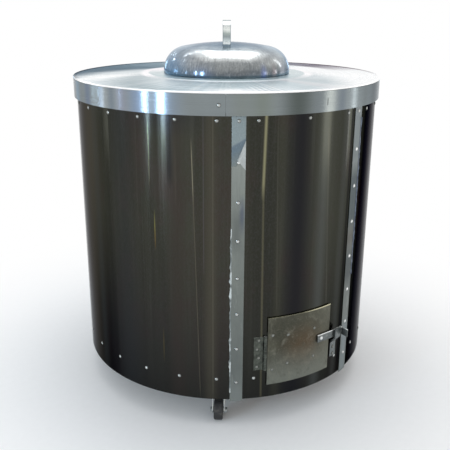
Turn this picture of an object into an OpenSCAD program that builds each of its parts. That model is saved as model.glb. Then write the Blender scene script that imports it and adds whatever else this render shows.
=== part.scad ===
// Barrel tandoor: a riveted stainless steel drum round an insulated clay pot, on four castors.
// The floor is z = 0, the drum's axis is x = y = 0, and the ash door faces -Y. Sizes are in millimetres.
// Azimuths are in degrees, counted from -Y towards +X.

/* [Drum] */
// Outer diameter of the drum
drum_d = 762; // [740:1:800]
// Height from the drum's bottom edge to the top edge of its rim band
drum_h = 722; // [700:1:760]
// Thickness of the drum's sheets
sheet_t = 1.5; // [1:0.1:2.5]
// Gap between the two sheets where they meet under a seam strap
seam_gap = 1; // [0.5:0.1:2]
// Distance along the drum from the door's middle to each seam
seam_x = 160.9; // [157:0.1:172]

/* [Seam straps] */
// Width of a seam strap
strap_w = 30; // [24:1:36]
// Thickness of a seam strap
strap_t = 1.5; // [1:0.1:2.5]
// Distance that a strap hangs below the drum's bottom edge
strap_drop = 5; // [0:1:8]
// Width of the backing strip behind each seam
backing_w = 40; // [30:1:50]
// Number of rivets in each strap
strap_rivets_n = 8; // [6:1:10]

/* [Rivets] */
// Diameter of a rivet's head
rivet_head_d = 9.2; // [8:0.2:11]
// Height of a rivet's head
rivet_head_h = 2.2; // [1.5:0.1:3]
// Diameter of a rivet's shank
rivet_shank_d = 4.8; // [4:0.1:6]
// Height of the top row under the rim band's top edge
top_row_drop = 55.5; // [52:0.5:60]
// Height of the bottom row over the drum's bottom edge
bottom_row_rise = 54.5; // [50:0.5:58]
// Height of each strap's lowest rivet over the drum's bottom edge
strap_foot_rise = 46.5; // [40:0.5:52]
// Distance along the drum from a seam to the first rivet of the long sheet
row_start_x = 46.5; // [33:0.5:60]
// Number of rivets in each row of the long sheet
row_rivets_n = 23; // [17:1:27]
// Distance along the drum from the door's middle to the outer rivets of the door sheet's rows
door_row_x = 119; // [117:0.5:123]

/* [Top] */
// Height of the rim band
band_h = 45; // [40:1:48]
// Gap between the drum and the rim band
band_gap = 5.5; // [4.5:0.1:7.5]
// Thickness of the rim band
band_t = 1.5; // [1:0.1:2]
// Azimuth of the rim band's seam
band_seam_az = -28.4; // [-60:0.1:-27]
// Width of the gap at the rim band's seam
band_seam_gap = 0.8; // [0.4:0.1:2]
// Distance from the band's seam to its rivet
band_rivet_offset = 14; // [10:1:20]
// Thickness of the top plate
plate_t = 1.5; // [1:0.1:2]
// Depth of the top plate's flange behind the rim band
plate_flange_h = 38; // [30:1:43]
// Height of the top plate's outer flat over the band's top edge
plate_rise = 3.6; // [3:0.1:5]
// Width of the top plate's outer flat
plate_flat_w = 34; // [20:1:50]
// Radius of the bead round the top plate's edge
plate_bead_r = 2.2; // [2:0.1:3]
// Height of the mouth ring over the top plate's outer flat
mouth_rise = 2.9; // [2:0.1:5]
// Outer diameter of the raised mouth ring
mouth_ring_d = 404; // [380:1:430]
// Diameter of the mouth
mouth_d = 290; // [260:1:300]
// Depth of the collar that lines the mouth
collar_h = 26; // [15:1:40]

/* [Lid] */
// Outer diameter of the lid
lid_d = 322; // [315:1:350]
// Height of the lid
lid_h = 75.5; // [70:0.5:90]
// Thickness of the lid
lid_t = 1.2; // [0.8:0.1:2]
// Radius of the lid's shoulder
lid_shoulder_r = 60; // [45:1:62]
// Radius of the lid's crown
lid_crown_r = 600; // [520:10:700]
// Azimuth towards which the handle's front foot points
handle_az = -28.2; // [-90:0.1:90]
// Width of the handle strap
handle_w = 20; // [14:1:26]
// Thickness of the handle strap
handle_t = 3; // [2:0.5:4]
// Distance between the outer faces of the handle's legs
handle_span = 93; // [80:1:110]
// Height of the handle over the lid's crown
handle_h = 53; // [45:1:65]
// Outer radius of the handle's corners
handle_corner_r = 24; // [12:1:30]
// Length of each foot of the handle
handle_foot_l = 19; // [16:1:26]

/* [Ash door] */
// Width of the door along its curve
door_w = 178; // [170:1:186]
// Height of the door
door_h = 174; // [166:1:180]
// Thickness of the door plate
door_t = 2; // [1.5:0.1:3]
// Height of the door's middle over the drum's bottom edge
door_rise = 122; // [118:1:140]
// Gap between the drum and the door plate
door_gap = 2.4; // [2:0.1:3.2]
// Width and height of the opening behind the door
opening_w = 137; // [130:1:142]
// Width and height of the insulated plug on the door's inside
plug_w = 100; // [92:1:104]
// Depth of the plug
plug_t = 16; // [12:1:20]
// Thickness of the plug's sheet pan
plug_pan_t = 1; // [0.8:0.1:1.5]
// Distance between the plug's rivets
plug_rivet_pitch = 75; // [65:1:80]

/* [Hinge] */
// Height of the hinge
hinge_h = 86; // [76:1:100]
// Distance that the hinge's middle sits below the door's middle
hinge_low = 3; // [0:1:6]
// Outer diameter of the hinge's knuckles
knuckle_d = 8.4; // [7.6:0.1:9]
// Diameter of the hinge pin
pin_d = 4; // [3:0.1:4.4]
// Thickness of the hinge's leaves
leaf_t = 1.5; // [1:0.1:1.6]
// Width of each leaf
leaf_w = 22; // [18:1:24]
// Distance from the hinge pin to the door's edge
hinge_offset = 5.6; // [5.4:0.1:7]
// Height of the leaf behind the door
door_leaf_h = 104; // [100:1:116]
// Distance between the two rivets of the leaf behind the door
door_leaf_pitch = 90; // [84:1:94]

/* [Latch] */
// Distance along the door from its middle to the latch's pivot
latch_x = 57.8; // [57:0.1:62]
// Height of the latch's pivot over the door's middle
latch_rise = 6.5; // [0:0.5:10]
// Height of the latch bar
bar_h = 20; // [16:1:24]
// Thickness of the latch bar
bar_t = 2; // [1.5:0.1:3]
// Length of the bar from its pivot to its bent end
bar_l = 70.5; // [69:0.5:76]
// Length of the bar on the other side of its pivot
bar_tail = 11.5; // [9:0.5:14]
// Length of the bar's bent finger tab
tab_l = 22; // [18:1:30]
// Thickness of the spacer behind the bar
spacer_t = 2; // [1.5:0.1:3]
// Diameter of the latch's pivot rivet
pivot_d = 6; // [5:0.1:7]
// Distance along the latch bar from its pivot to the keeper's middle
keeper_reach = 52.4; // [51:0.1:54]
// Width of the keeper
keeper_w = 21; // [18:1:22]
// Thickness of the keeper
keeper_t = 2.5; // [2:0.1:3]
// Height of the keeper's lip over the latch bar's top edge
keeper_lip = 4; // [2:0.5:5]
// Gap between the keeper's tail and the rivet row under it
keeper_row_gap = 0.6; // [0.3:0.1:3]
// Height over which the keeper slopes out from the drum
keeper_slope = 17; // [14:1:18]

/* [Inside] */
// Wall of the clay pot
pot_wall = 32; // [25:1:38]
// Outer radius of the pot's belly
pot_belly_r = 300; // [280:1:320]
// Outer radius of the pot's bottom
pot_foot_r = 215; // [200:1:230]
// Width of the ledge that carries the grate
ledge_w = 25; // [18:1:32]
// Thickness of the fire grate
grate_t = 10; // [8:1:14]
// Thickness of the hearth slab under the pot
slab_t = 39; // [34:1:42]
// Distance from each castor's swivel in to the hearth slab's edge
slab_inset = 45; // [41:1:63]
// Thickness of the base pan, the support ring and the backing strips
frame_t = 3; // [2:0.5:4]
// Height of the base pan's flange
pan_h = 60; // [59:1:75]
// Depth of the support ring under the top plate
ring_h = 72; // [68:1:80]
// Width of the support ring's upper flange
ring_w = 40; // [30:1:50]
// Sheet of the ash tunnel
tunnel_t = 1.5; // [1:0.1:2.5]
// Distance from the drum's axis to the ash tunnel's inner end
tunnel_end_r = 200; // [195:1:210]

/* [Castors] */
// Height of a castor
castor_h = 70; // [68:1:76]
// Distance from the drum's outside to each castor's swivel
castor_inset = 48; // [45:1:53]
// Azimuth of the first castor
castor_az = -30.6; // [-34:0.1:-20]
// Diameter of a castor wheel
wheel_d = 50; // [46:1:51]
// Width of a castor wheel's hub
wheel_w = 25.4; // [22:0.2:28]
// Distance that the wheel trails behind the swivel
trail = 22; // [18:1:22]
// Side of a castor's square plate
castor_plate_w = 60; // [56:1:62]
// Distance between the plate's bolts
castor_bolt_pitch = 45; // [42:1:46]
// Diameter of the plate's bolts
bolt_d = 6; // [5:0.5:6.5]
// Diameter of the axle
axle_d = 8; // [6:0.5:10]
// Diameter of the swivel's kingpin
kingpin_d = 8; // [6:0.5:10]

/* [Hidden] */

// Clearances between fixed pieces, round a shaft that turns, and between faces that slide
fit_gap = 0.1;
run_gap = 0.06;
slide_gap = 0.3;
// Room that a cutting shape reaches past the face that it cuts
cut = 1;
// Facets of large and small round shapes
fine_fn = 180;
small_fn = 40;

// Drum
drum_r = drum_d / 2;
drum_ri = drum_r - sheet_t;
hem_z = castor_h;
rim_z = hem_z + drum_h;
flat_top_z = rim_z + plate_rise;
shell_top_z = flat_top_z - plate_t;
door_z = hem_z + door_rise;
seam_az = arc_az(seam_x, drum_r);

// Rivets
shank_r = rivet_shank_d / 2;
tail_rim_w = 1.2;
tail_r = shank_r + tail_rim_w;
tail_h = 1.6;
flush_tail_h = 0.3;
small_head_r = rivet_head_d * 0.44;
small_head_h = rivet_head_h * 0.7;
top_row_z = rim_z - top_row_drop;
bottom_row_z = hem_z + bottom_row_rise;
strap_foot_z = hem_z + strap_foot_rise;
frame_ro = drum_ri - fit_gap;
frame_ri = frame_ro - frame_t;
row_grip = drum_r - frame_ri;
strap_face_r = drum_r + fit_gap + strap_t;
strap_grip = strap_face_r - frame_ri;
strap_pitch = (top_row_z - strap_foot_z) / (strap_rivets_n - 1);
strap_rivet_zs = [for (i = [0:strap_rivets_n - 1]) strap_foot_z + i * strap_pitch];
row_start = seam_az + arc_az(row_start_x, drum_r);
door_row_az = arc_az(door_row_x, drum_r);
row_pitch = (360 - 2 * row_start) / (row_rivets_n - 1);
wrap_row_azs = [for (i = [0:row_rivets_n - 1]) row_start + i * row_pitch];

// Rim band and top plate
band_ri = drum_r + band_gap;
band_ro = band_ri + band_t;
plate_ro = band_ri - fit_gap;
plate_ri = plate_ro - plate_t;
band_rivet_az = band_seam_az - arc_az(band_rivet_offset, band_ro);
mouth_top_z = flat_top_z + mouth_rise;
mouth_ring_r = mouth_ring_d / 2;
mouth_r = mouth_d / 2;
mouth_step_w = 6;
mouth_step_h = 1.7;

// Lid and its handle
lid_z = mouth_top_z + slide_gap;
lid_r = lid_d / 2;
lid_wall_h = lid_h - lid_crown_r
  + sqrt(pow(lid_crown_r - lid_shoulder_r, 2) - pow(lid_r - lid_shoulder_r, 2));
lid_blend = acos((lid_r - lid_shoulder_r) / (lid_crown_r - lid_shoulder_r));
crown_z = lid_z + lid_h;
handle_foot_y = handle_span / 2 - handle_t + handle_foot_l / 2;
foot_tilt = asin(handle_foot_y / lid_crown_r);
foot_z = crown_z - lid_crown_r * (1 - cos(foot_tilt));
handle_top_z = crown_z + handle_h;

// Door, hinge and latch
door_ri = drum_r + door_gap;
door_ro = door_ri + door_t;
door_half_az = arc_az(door_w / 2, door_ro);
hinge_az = -door_half_az - arc_az(hinge_offset, door_ro);
knuckle_r = knuckle_d / 2;
hinge_r = drum_r + slide_gap + fit_gap + knuckle_r;
hinge_z = door_z - hinge_low;
knuckles_n = 5;
knuckle_pitch = hinge_h / knuckles_n;
leaf_setback = 0.6;
leaf_edge = knuckle_r + leaf_setback;
pin_end_l = 1;
pin_head_h = 1.5;
door_leaf_ro = door_ri - fit_gap;
drum_leaf_rivet_shift = 0.8;
drum_leaf_rivet_x = leaf_edge + leaf_w / 2 + drum_leaf_rivet_shift;
drum_leaf_rivet_step = 2.2;
drum_leaf_rivet_pitch = hinge_h * 0.267;
door_leaf_rivet_shift = 2.2;
door_leaf_rivet_x = leaf_edge + leaf_w / 2 + door_leaf_rivet_shift;
door_leaf_grip = door_t + fit_gap + leaf_t;
drum_leaf_ri = drum_r + fit_gap;
drum_leaf_grip = drum_leaf_ri + leaf_t - drum_ri + fit_gap;
plug_ro = door_ri - fit_gap;
plug_ri = plug_ro - plug_t;
plug_grip = door_ro - plug_ri;
plug_half_az = arc_az(plug_w / 2, plug_ro);
plug_rivet_az = arc_az(plug_rivet_pitch / 2, door_ro);
bar_face_r = door_ro + spacer_t + slide_gap;
bar_back_r = bar_face_r + bar_t;
bar_bend_ri = 1;
latch_az = arc_az(latch_x, door_ro);
latch_z = door_z + latch_rise;
keeper_turn = atan(keeper_reach / bar_face_r);
keeper_az = latch_az + keeper_turn;
keeper_lip_r = bar_back_r / cos(keeper_turn) + tan(keeper_turn) * keeper_w / 2 + slide_gap;
keeper_shelf = bar_h / 2 + slide_gap;
keeper_foot = drum_r + fit_gap;
keeper_grip = keeper_foot + keeper_t - drum_ri + fit_gap;
keeper_tail_top = keeper_shelf + keeper_slope;
keeper_bottom = latch_z - bottom_row_z - rivet_head_d / 2 - keeper_row_gap;
keeper_tail_l = keeper_bottom - keeper_tail_top - keeper_t;
keeper_rivet_shares = [0.42, 0.9];
keeper_rivet_drops = [for (share = keeper_rivet_shares) keeper_tail_top + share * keeper_tail_l];

// Inside
slab_z = hem_z + frame_t;
pot_z = slab_z + slab_t;
pot_top_z = mouth_top_z - plate_t - fit_gap;
pot_h = pot_top_z - pot_z;
pot_collar_gap = 1.5;
pot_mouth_r = mouth_r + plate_t + pot_collar_gap + pot_wall;
belly_at = 0.4;
pot_steps = 8;
tunnel_w = opening_w + 2 * tunnel_t;
tunnel_cover = 6;
ledge_z = door_z + tunnel_w / 2 + tunnel_cover;
grate_room = 8;
grate_r = pot_r_at(ledge_z) - pot_wall - grate_room;
grate_slot_w = 14;
grate_bar_w = 14;
grate_rim_w = 22;
fill_gap = 1;
fill_top_gap = 8;
fill_ro = frame_ri - tail_h - fit_gap - fill_gap;
frame_gap = 1;
nut_room_h = 9;

// Castors
castor_r = drum_r - castor_inset;
slab_r = castor_r - slab_inset;
wheel_r = wheel_d / 2;
castor_plate_t = 2.5;
race_r = 20;
race_h = 7;
race_z = hem_z - castor_plate_t - race_h;
fork_top_z = race_z - slide_gap;
fork_top_t = 3.5;
fork_top_r = 19;
cheek_t = 2.5;
cheek_x = wheel_w / 2 + slide_gap;
boss_r = 9;
kingpin_head_r = 8;
kingpin_head_h = 2.5;
bolt_hex_r = bolt_d * 0.96;
bolt_head_h = 4;
nut_h = 5;
axle_hex_r = axle_d * 0.8;
tyre_t = 7.5;
tyre_ri = wheel_r - tyre_t;
tyre_inset = 1.7;
tyre_half_w = wheel_w / 2 - tyre_inset;
tyre_corner_r = 4;
hub_boss_t = 3;
hub_dish = 3;
hub_rim_t = 2;
hub_slope = 1;
castors = [1, 2, 3, 4];
castor_step_az = 90;

// Angle that an arc of a given length takes at a radius
function arc_az(length, radius) = length / radius * 180 / PI;

// Points along an arc
function arc_pts(cx, cy, r, a0, a1, n) =
  [for (i = [0:n]) let (a = a0 + (a1 - a0) * i / n) [cx + r * cos(a), cy + r * sin(a)]];

function mirrored(pts) = [for (i = [len(pts) - 1:-1:0]) [-pts[i].x, pts[i].y]];

function reversed(pts) = [for (i = [len(pts) - 1:-1:0]) pts[i]];

// Point where the line from p touches a circle round c, on the left (1) or right (-1)
function touch_pt(p, c, r, side) =
  let (
    d = c - p,
    l = norm(d),
    a = atan2(d.y, d.x) + side * asin(r / l)
  )
  p + sqrt(l * l - r * r) * [cos(a), sin(a)];

// Outer radius of the clay pot at a share t of its height: two quarter waves that meet at the belly
function pot_r(t) = t < belly_at
  ? pot_foot_r + (pot_belly_r - pot_foot_r) * sin(90 * t / belly_at)
  : pot_mouth_r + (pot_belly_r - pot_mouth_r) * cos(90 * (t - belly_at) / (1 - belly_at));

function pot_r_at(z) = pot_r((z - pot_z) / pot_h);

// Outline of the pot's outside between two heights, moved out by a distance
function pot_side(z0, z1, out, n) =
  [for (i = [0:n]) let (z = z0 + (z1 - z0) * i / n) [pot_r_at(z) + out, z]];

// Places children, drawn with their outward side along +Z, on the drum
module on_drum(az, z, r) {
  rotate([0, 0, az]) translate([0, -r, z]) rotate([90, 0, 0]) children();
}

// Curved plate between two radii, two heights and two azimuths
module arc_plate(r0, r1, z0, z1, az0, az1) {
  rotate([0, 0, az0 - 90])
    rotate_extrude(angle = az1 - az0, $fn = fine_fn)
      translate([r0, z0]) square([r1 - r0, z1 - z0]);
}

// Outline turned round the drum's axis
module turned(pts, facets = fine_fn) {
  rotate_extrude($fn = facets) polygon(pts);
}

// Rivet with its head's underside at z = 0 and its shank along -Z
module rivet(grip, head_r = rivet_head_d / 2, head_h = rivet_head_h, r = shank_r, tail = tail_h) {
  dome_r = (head_r * head_r + head_h * head_h) / (2 * head_h);
  dome_a = asin(head_r / dome_r);
  turned(concat(
    arc_pts(0, head_h - dome_r, dome_r, 90, 90 - dome_a, 5),
    [[r, 0], [r, -grip - fit_gap], [r + tail_r - shank_r, -grip - fit_gap]],
    [[r + tail_r - shank_r, -grip - fit_gap - tail], [0, -grip - fit_gap - tail]]
  ), small_fn);
}

// Hole for a rivet's shank, open past both faces
module rivet_hole(grip, r = shank_r) {
  translate([0, 0, -grip - cut - tail_h])
    cylinder(h = grip + 2 * cut + tail_h, r = r + fit_gap / 2, $fn = small_fn);
}

// Hexagonal nut or bolt head standing on z = 0
module hexagon(r, h) {
  cylinder(h = h, r = r, $fn = 6);
}

// Room in an inner piece for the tail of a rivet that doesn't hold it
module tail_room() {
  translate([0, 0, -row_grip - cut]) cylinder(h = row_grip + cut, r = tail_r + fit_gap, $fn = small_fn);
}

module strap_rivet_holes(az) {
  for (z = strap_rivet_zs) on_drum(az, z, strap_face_r) rivet_hole(strap_grip);
}

module row_rivet_holes(azs, zs) {
  for (z = zs, az = azs) on_drum(az, z, drum_r) rivet_hole(row_grip);
}

module keeper_rivet_holes() {
  for (drop = keeper_rivet_drops)
    on_drum(keeper_az, latch_z - drop, keeper_foot + keeper_t) rivet_hole(keeper_grip);
}

// Places children at each rivet of the hinge leaf on the drum: they step left and right
module at_drum_leaf_rivets() {
  for (i = [0:3]) {
    x = drum_leaf_rivet_x + (i % 2 == 0 ? 1 : -1) * drum_leaf_rivet_step;
    z = hinge_z + (i - 1.5) * drum_leaf_rivet_pitch;
    on_drum(hinge_az - arc_az(x, drum_r), z, drum_leaf_ri + leaf_t) children();
  }
}

module shell_wrap_sheet() {
  edge = arc_az(seam_gap / 2, drum_r);
  color("#5d5a50") difference() {
    arc_plate(drum_ri, drum_r, hem_z, shell_top_z, seam_az + edge, 360 - seam_az - edge);
    row_rivet_holes(wrap_row_azs, [bottom_row_z, top_row_z]);
    for (side = [-1, 1]) strap_rivet_holes(side * seam_az);
  }
}

module shell_door_sheet() {
  edge = arc_az(seam_gap / 2, drum_r);
  color("#5a574d") difference() {
    arc_plate(drum_ri, drum_r, hem_z, shell_top_z, -seam_az + edge, seam_az - edge);
    row_rivet_holes([-door_row_az, door_row_az], [bottom_row_z]);
    row_rivet_holes([-door_row_az, 0, door_row_az], [top_row_z]);
    for (side = [-1, 1]) strap_rivet_holes(side * seam_az);
    keeper_rivet_holes();
    at_drum_leaf_rivets() rivet_hole(drum_leaf_grip);
    translate([-opening_w / 2, -drum_r - cut, door_z - opening_w / 2])
      cube([opening_w, drum_r / 2, opening_w]);
  }
}

module seam_strap(side) {
  half = arc_az(strap_w / 2, drum_r);
  az = side * seam_az;
  color("#8f8f8a") difference() {
    arc_plate(drum_r + fit_gap, strap_face_r, hem_z - strap_drop, rim_z, az - half, az + half);
    strap_rivet_holes(az);
  }
}

module strap_rivets(side) {
  color("#e2e4e4") for (z = strap_rivet_zs) on_drum(side * seam_az, z, strap_face_r) rivet(strap_grip);
}

module seam_backing_strips() {
  half = arc_az(backing_w / 2, frame_ro);
  color("#7c7c78") for (side = [-1, 1]) {
    az = side * seam_az;
    difference() {
      arc_plate(frame_ri, frame_ro, hem_z + pan_h + frame_gap, rim_z - ring_h - frame_gap,
        az - half, az + half);
      strap_rivet_holes(az);
    }
  }
}

module row_rivets(azs, z) {
  color("#e2e4e4") for (az = azs) on_drum(az, z, drum_r) rivet(row_grip);
}

module rim_band() {
  edge = arc_az(band_seam_gap / 2, band_ro);
  color("#7b7c78") difference() {
    arc_plate(band_ri, band_ro, rim_z - band_h, rim_z, band_seam_az + edge, band_seam_az + 360 - edge);
    on_drum(band_rivet_az, rim_z - band_h / 2, band_ro) rivet_hole(band_ro - plate_ri);
  }
}

module rim_band_rivet() {
  color("#e2e4e4") on_drum(band_rivet_az, rim_z - band_h / 2, band_ro) rivet(band_ro - plate_ri);
}

// Flange, bead, outer flat, cone, raised mouth ring and collar in one sheet
module top_plate() {
  flat_r = plate_ro - plate_flat_w;
  cone_r = mouth_ring_r + mouth_step_w;
  cone_z = mouth_top_z - mouth_step_h;
  outside = concat(
    [[plate_ro, rim_z - plate_flange_h]],
    arc_pts(plate_ro, rim_z + plate_bead_r, plate_bead_r, -90, 90, 10),
    [[plate_ri, flat_top_z], [flat_r, flat_top_z], [cone_r, cone_z], [mouth_ring_r, mouth_top_z]],
    [[mouth_r + plate_t, mouth_top_z], [mouth_r, mouth_top_z - plate_t], [mouth_r, mouth_top_z - collar_h]]
  );
  inside = [
    [mouth_r + plate_t, mouth_top_z - collar_h],
    [mouth_r + plate_t, mouth_top_z - plate_t],
    [mouth_ring_r, mouth_top_z - plate_t],
    [cone_r, cone_z - plate_t],
    [flat_r, shell_top_z],
    [plate_ri, shell_top_z],
    [plate_ri, rim_z - plate_flange_h]
  ];
  color("#c9cbca") difference() {
    turned(concat(outside, inside));
    on_drum(band_rivet_az, rim_z - band_h / 2, band_ro) rivet_hole(band_ro - plate_ri);
  }
}

// Angle ring inside the drum that carries the top plate
module top_support_ring() {
  color("#8a8a86") difference() {
    turned([
      [frame_ri, rim_z - ring_h],
      [frame_ro, rim_z - ring_h],
      [frame_ro, shell_top_z],
      [frame_ro - ring_w, shell_top_z],
      [frame_ro - ring_w, shell_top_z - frame_t],
      [frame_ri, shell_top_z - frame_t]
    ]);
    row_rivet_holes(concat(wrap_row_azs, [-door_row_az, 0, door_row_az]), [top_row_z]);
    for (side = [-1, 1]) strap_rivet_holes(side * seam_az);
  }
}

// Pan that closes the drum's bottom: the castors bolt to it
module base_pan() {
  color("#8a8a86") difference() {
    turned([
      [0, hem_z],
      [frame_ro, hem_z],
      [frame_ro, hem_z + pan_h],
      [frame_ri, hem_z + pan_h],
      [frame_ri, hem_z + frame_t],
      [0, hem_z + frame_t]
    ]);
    row_rivet_holes(concat(wrap_row_azs, [-door_row_az, door_row_az]), [bottom_row_z]);
    for (side = [-1, 1]) strap_rivet_holes(side * seam_az);
    for (drop = keeper_rivet_drops) on_drum(keeper_az, latch_z - drop, drum_r) tail_room();
    tunnel_cut(fit_gap);
    for (k = castors) at_castor(k) at_plate_bolts() translate([0, 0, hem_z - cut])
      cylinder(h = frame_t + 2 * cut, d = bolt_d + fit_gap, $fn = small_fn);
  }
}

module tunnel_cut(room) {
  w = tunnel_w + 2 * room;
  translate([-w / 2, -drum_r, door_z - w / 2]) cube([w, drum_r - pot_foot_r / 2, w]);
}

module clay_pot() {
  color("#b07a52") difference() {
    turned(concat(
      pot_side(pot_z, pot_top_z, 0, 2 * pot_steps),
      reversed(pot_side(ledge_z, pot_top_z, -pot_wall, pot_steps)),
      reversed(pot_side(pot_z, ledge_z, -pot_wall - ledge_w, 3))
    ));
    tunnel_cut(fit_gap);
  }
}

// Loose insulation between the pot and the drum, with room for the castors' nuts
module insulation_fill() {
  top_z = rim_z - fill_top_gap;
  groove_r0 = castor_r - castor_bolt_pitch * 0.9;
  color("#d8cdb8") difference() {
    turned(concat(
      [[slab_r + fill_gap, slab_z], [fill_ro, slab_z], [fill_ro, top_z]],
      reversed(pot_side(pot_z + fill_gap, top_z, fill_gap, 2 * pot_steps)),
      [[slab_r + fill_gap, pot_z + fill_gap]]
    ));
    tunnel_cut(fit_gap);
    turned([
      [groove_r0, slab_z - cut],
      [fill_ro - 2 * cut, slab_z - cut],
      [fill_ro - 2 * cut, slab_z + nut_room_h],
      [groove_r0, slab_z + nut_room_h]
    ]);
  }
}

module hearth_slab() {
  color("#c2a382") translate([0, 0, slab_z]) cylinder(h = slab_t, r = slab_r, $fn = fine_fn);
}

module fire_grate() {
  pitch = grate_slot_w + grate_bar_w;
  slot_r = grate_r - grate_rim_w;
  n = floor(slot_r / pitch);
  color("#3b3a38") difference() {
    translate([0, 0, ledge_z]) cylinder(h = grate_t, r = grate_r, $fn = fine_fn);
    for (i = [-n:n]) {
      half = sqrt(pow(slot_r, 2) - pow(i * pitch, 2)) - grate_slot_w / 2;
      if (half > grate_slot_w)
        for (side = [-1, 1])
          translate([i * pitch - grate_slot_w / 2, side < 0 ? -half : grate_bar_w / 2, ledge_z - cut])
            cube([grate_slot_w, half - grate_bar_w / 2, grate_t + 2 * cut]);
    }
  }
}

// Square duct from the ash door to the space under the grate
module ash_tunnel() {
  outer = tunnel_w;
  inner = opening_w;
  color("#8a8a86") intersection() {
    difference() {
      translate([-outer / 2, -drum_r, door_z - outer / 2]) cube([outer, drum_r - tunnel_end_r, outer]);
      translate([-inner / 2, -drum_r - cut, door_z - inner / 2]) cube([inner, drum_r, inner]);
    }
    cylinder(h = rim_z, r = drum_ri - fit_gap, $fn = fine_fn);
  }
}

// Strap bent out from the drum: its lip holds the latch bar and its slope carries it
module latch_keeper() {
  face_r = keeper_foot + keeper_t;
  lip_top = bar_h / 2 + keeper_lip;
  profile = [
    [keeper_foot, -keeper_bottom],
    [face_r, -keeper_bottom],
    [face_r, -keeper_tail_top - keeper_t],
    [keeper_lip_r + keeper_t, -keeper_shelf - keeper_t],
    [keeper_lip_r + keeper_t, lip_top],
    [keeper_lip_r, lip_top],
    [keeper_lip_r, -keeper_shelf - slide_gap],
    [keeper_foot, -keeper_tail_top]
  ];
  color("#9a9d9c") difference() {
    rotate([0, 0, keeper_az]) translate([-keeper_w / 2, 0, latch_z])
      rotate([90, 0, 90]) linear_extrude(height = keeper_w) polygon([for (p = profile) [-p.x, p.y]]);
    keeper_rivet_holes();
  }
}

module latch_keeper_rivets() {
  color("#e2e4e4") for (drop = keeper_rivet_drops)
    on_drum(keeper_az, latch_z - drop, keeper_foot + keeper_t) rivet(keeper_grip);
}

// Hinge barrel's own frame: the pin stands on x = y = 0, with the door towards +X and outside towards -Y
module at_hinge() {
  rotate([0, 0, hinge_az]) translate([0, -hinge_r, 0]) children();
}

function knuckle_z(i) = hinge_z - hinge_h / 2 + i * knuckle_pitch;

// Knuckles that belong to one leaf, with the tabs that join them to it
module knuckles(which, tab_r0, tab_r1, side) {
  for (i = which) at_hinge() translate([0, 0, knuckle_z(i) + slide_gap / 2]) {
    cylinder(h = knuckle_pitch - slide_gap, r = knuckle_r, $fn = small_fn);
    translate([side > 0 ? 0 : -leaf_edge - cut, hinge_r - tab_r1, 0])
      cube([leaf_edge + cut, tab_r1 - tab_r0, knuckle_pitch - slide_gap]);
  }
}

module pin_bore() {
  at_hinge() translate([0, 0, hinge_z - hinge_h])
    cylinder(h = 2 * hinge_h, r = pin_d / 2 + run_gap, $fn = small_fn);
}

module hinge_drum_leaf() {
  ro = drum_leaf_ri + leaf_t;
  near = hinge_az - arc_az(leaf_edge, drum_r);
  far = hinge_az - arc_az(leaf_edge + leaf_w, drum_r);
  color("#a3a7a8") difference() {
    union() {
      arc_plate(drum_leaf_ri, ro, hinge_z - hinge_h / 2, hinge_z + hinge_h / 2, far, near);
      knuckles([0, 2, 4], drum_leaf_ri + fit_gap, ro - fit_gap, -1);
    }
    pin_bore();
    at_drum_leaf_rivets() rivet_hole(drum_leaf_grip);
  }
}

module hinge_drum_leaf_rivets() {
  color("#e2e4e4") at_drum_leaf_rivets() rivet(drum_leaf_grip, small_head_r, small_head_h);
}

module hinge_pin() {
  top = hinge_h + pin_end_l + fit_gap;
  color("#b5b8b8") at_hinge() translate([0, 0, hinge_z - hinge_h / 2 - pin_end_l]) {
    cylinder(h = top, r = pin_d / 2, $fn = small_fn);
    translate([0, 0, top]) cylinder(h = pin_head_h, r = knuckle_r - leaf_setback, $fn = small_fn);
  }
}

module at_door_leaf_rivets() {
  az = hinge_az + arc_az(door_leaf_rivet_x, door_ro);
  for (side = [-1, 1])
    on_drum(az, hinge_z + side * door_leaf_pitch / 2, door_ro) children();
}

module hinge_door_leaf() {
  ri = door_leaf_ro - leaf_t;
  near = hinge_az + arc_az(leaf_edge, door_leaf_ro);
  far = hinge_az + arc_az(leaf_edge + leaf_w, door_leaf_ro);
  color("#a3a7a8") difference() {
    union() {
      arc_plate(ri, door_leaf_ro, hinge_z - door_leaf_h / 2, hinge_z + door_leaf_h / 2, near, far);
      knuckles([1, 3], ri + fit_gap, door_leaf_ro - fit_gap, 1);
    }
    pin_bore();
    at_door_leaf_rivets() rivet_hole(door_leaf_grip);
  }
}

module hinge_door_leaf_rivets() {
  color("#e2e4e4") at_door_leaf_rivets()
    rivet(door_leaf_grip, small_head_r, small_head_h, shank_r, flush_tail_h);
}

module at_plug_rivets() {
  for (sx = [-1, 1], sz = [-1, 1])
    on_drum(sx * plug_rivet_az, door_z + sz * plug_rivet_pitch / 2, door_ro) children();
}

module pivot_hole() {
  on_drum(latch_az, latch_z, door_ro) rivet_hole(door_t, pivot_d / 2);
}

module door_plate() {
  color("#8c8880") difference() {
    arc_plate(door_ri, door_ro, door_z - door_h / 2, door_z + door_h / 2, -door_half_az, door_half_az);
    at_plug_rivets() rivet_hole(plug_grip);
    at_door_leaf_rivets() rivet_hole(door_leaf_grip);
    pivot_hole();
  }
}

// Sheet tray, open towards the door plate
module door_plug_pan() {
  inset_az = arc_az(plug_pan_t, plug_ro);
  half = plug_w / 2;
  color("#8a8a86") difference() {
    arc_plate(plug_ri, plug_ro, door_z - half, door_z + half, -plug_half_az, plug_half_az);
    arc_plate(plug_ri + plug_pan_t, plug_ro + cut, door_z - half + plug_pan_t, door_z + half - plug_pan_t,
      -plug_half_az + inset_az, plug_half_az - inset_az);
    at_plug_rivets() rivet_hole(plug_grip);
  }
}

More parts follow.
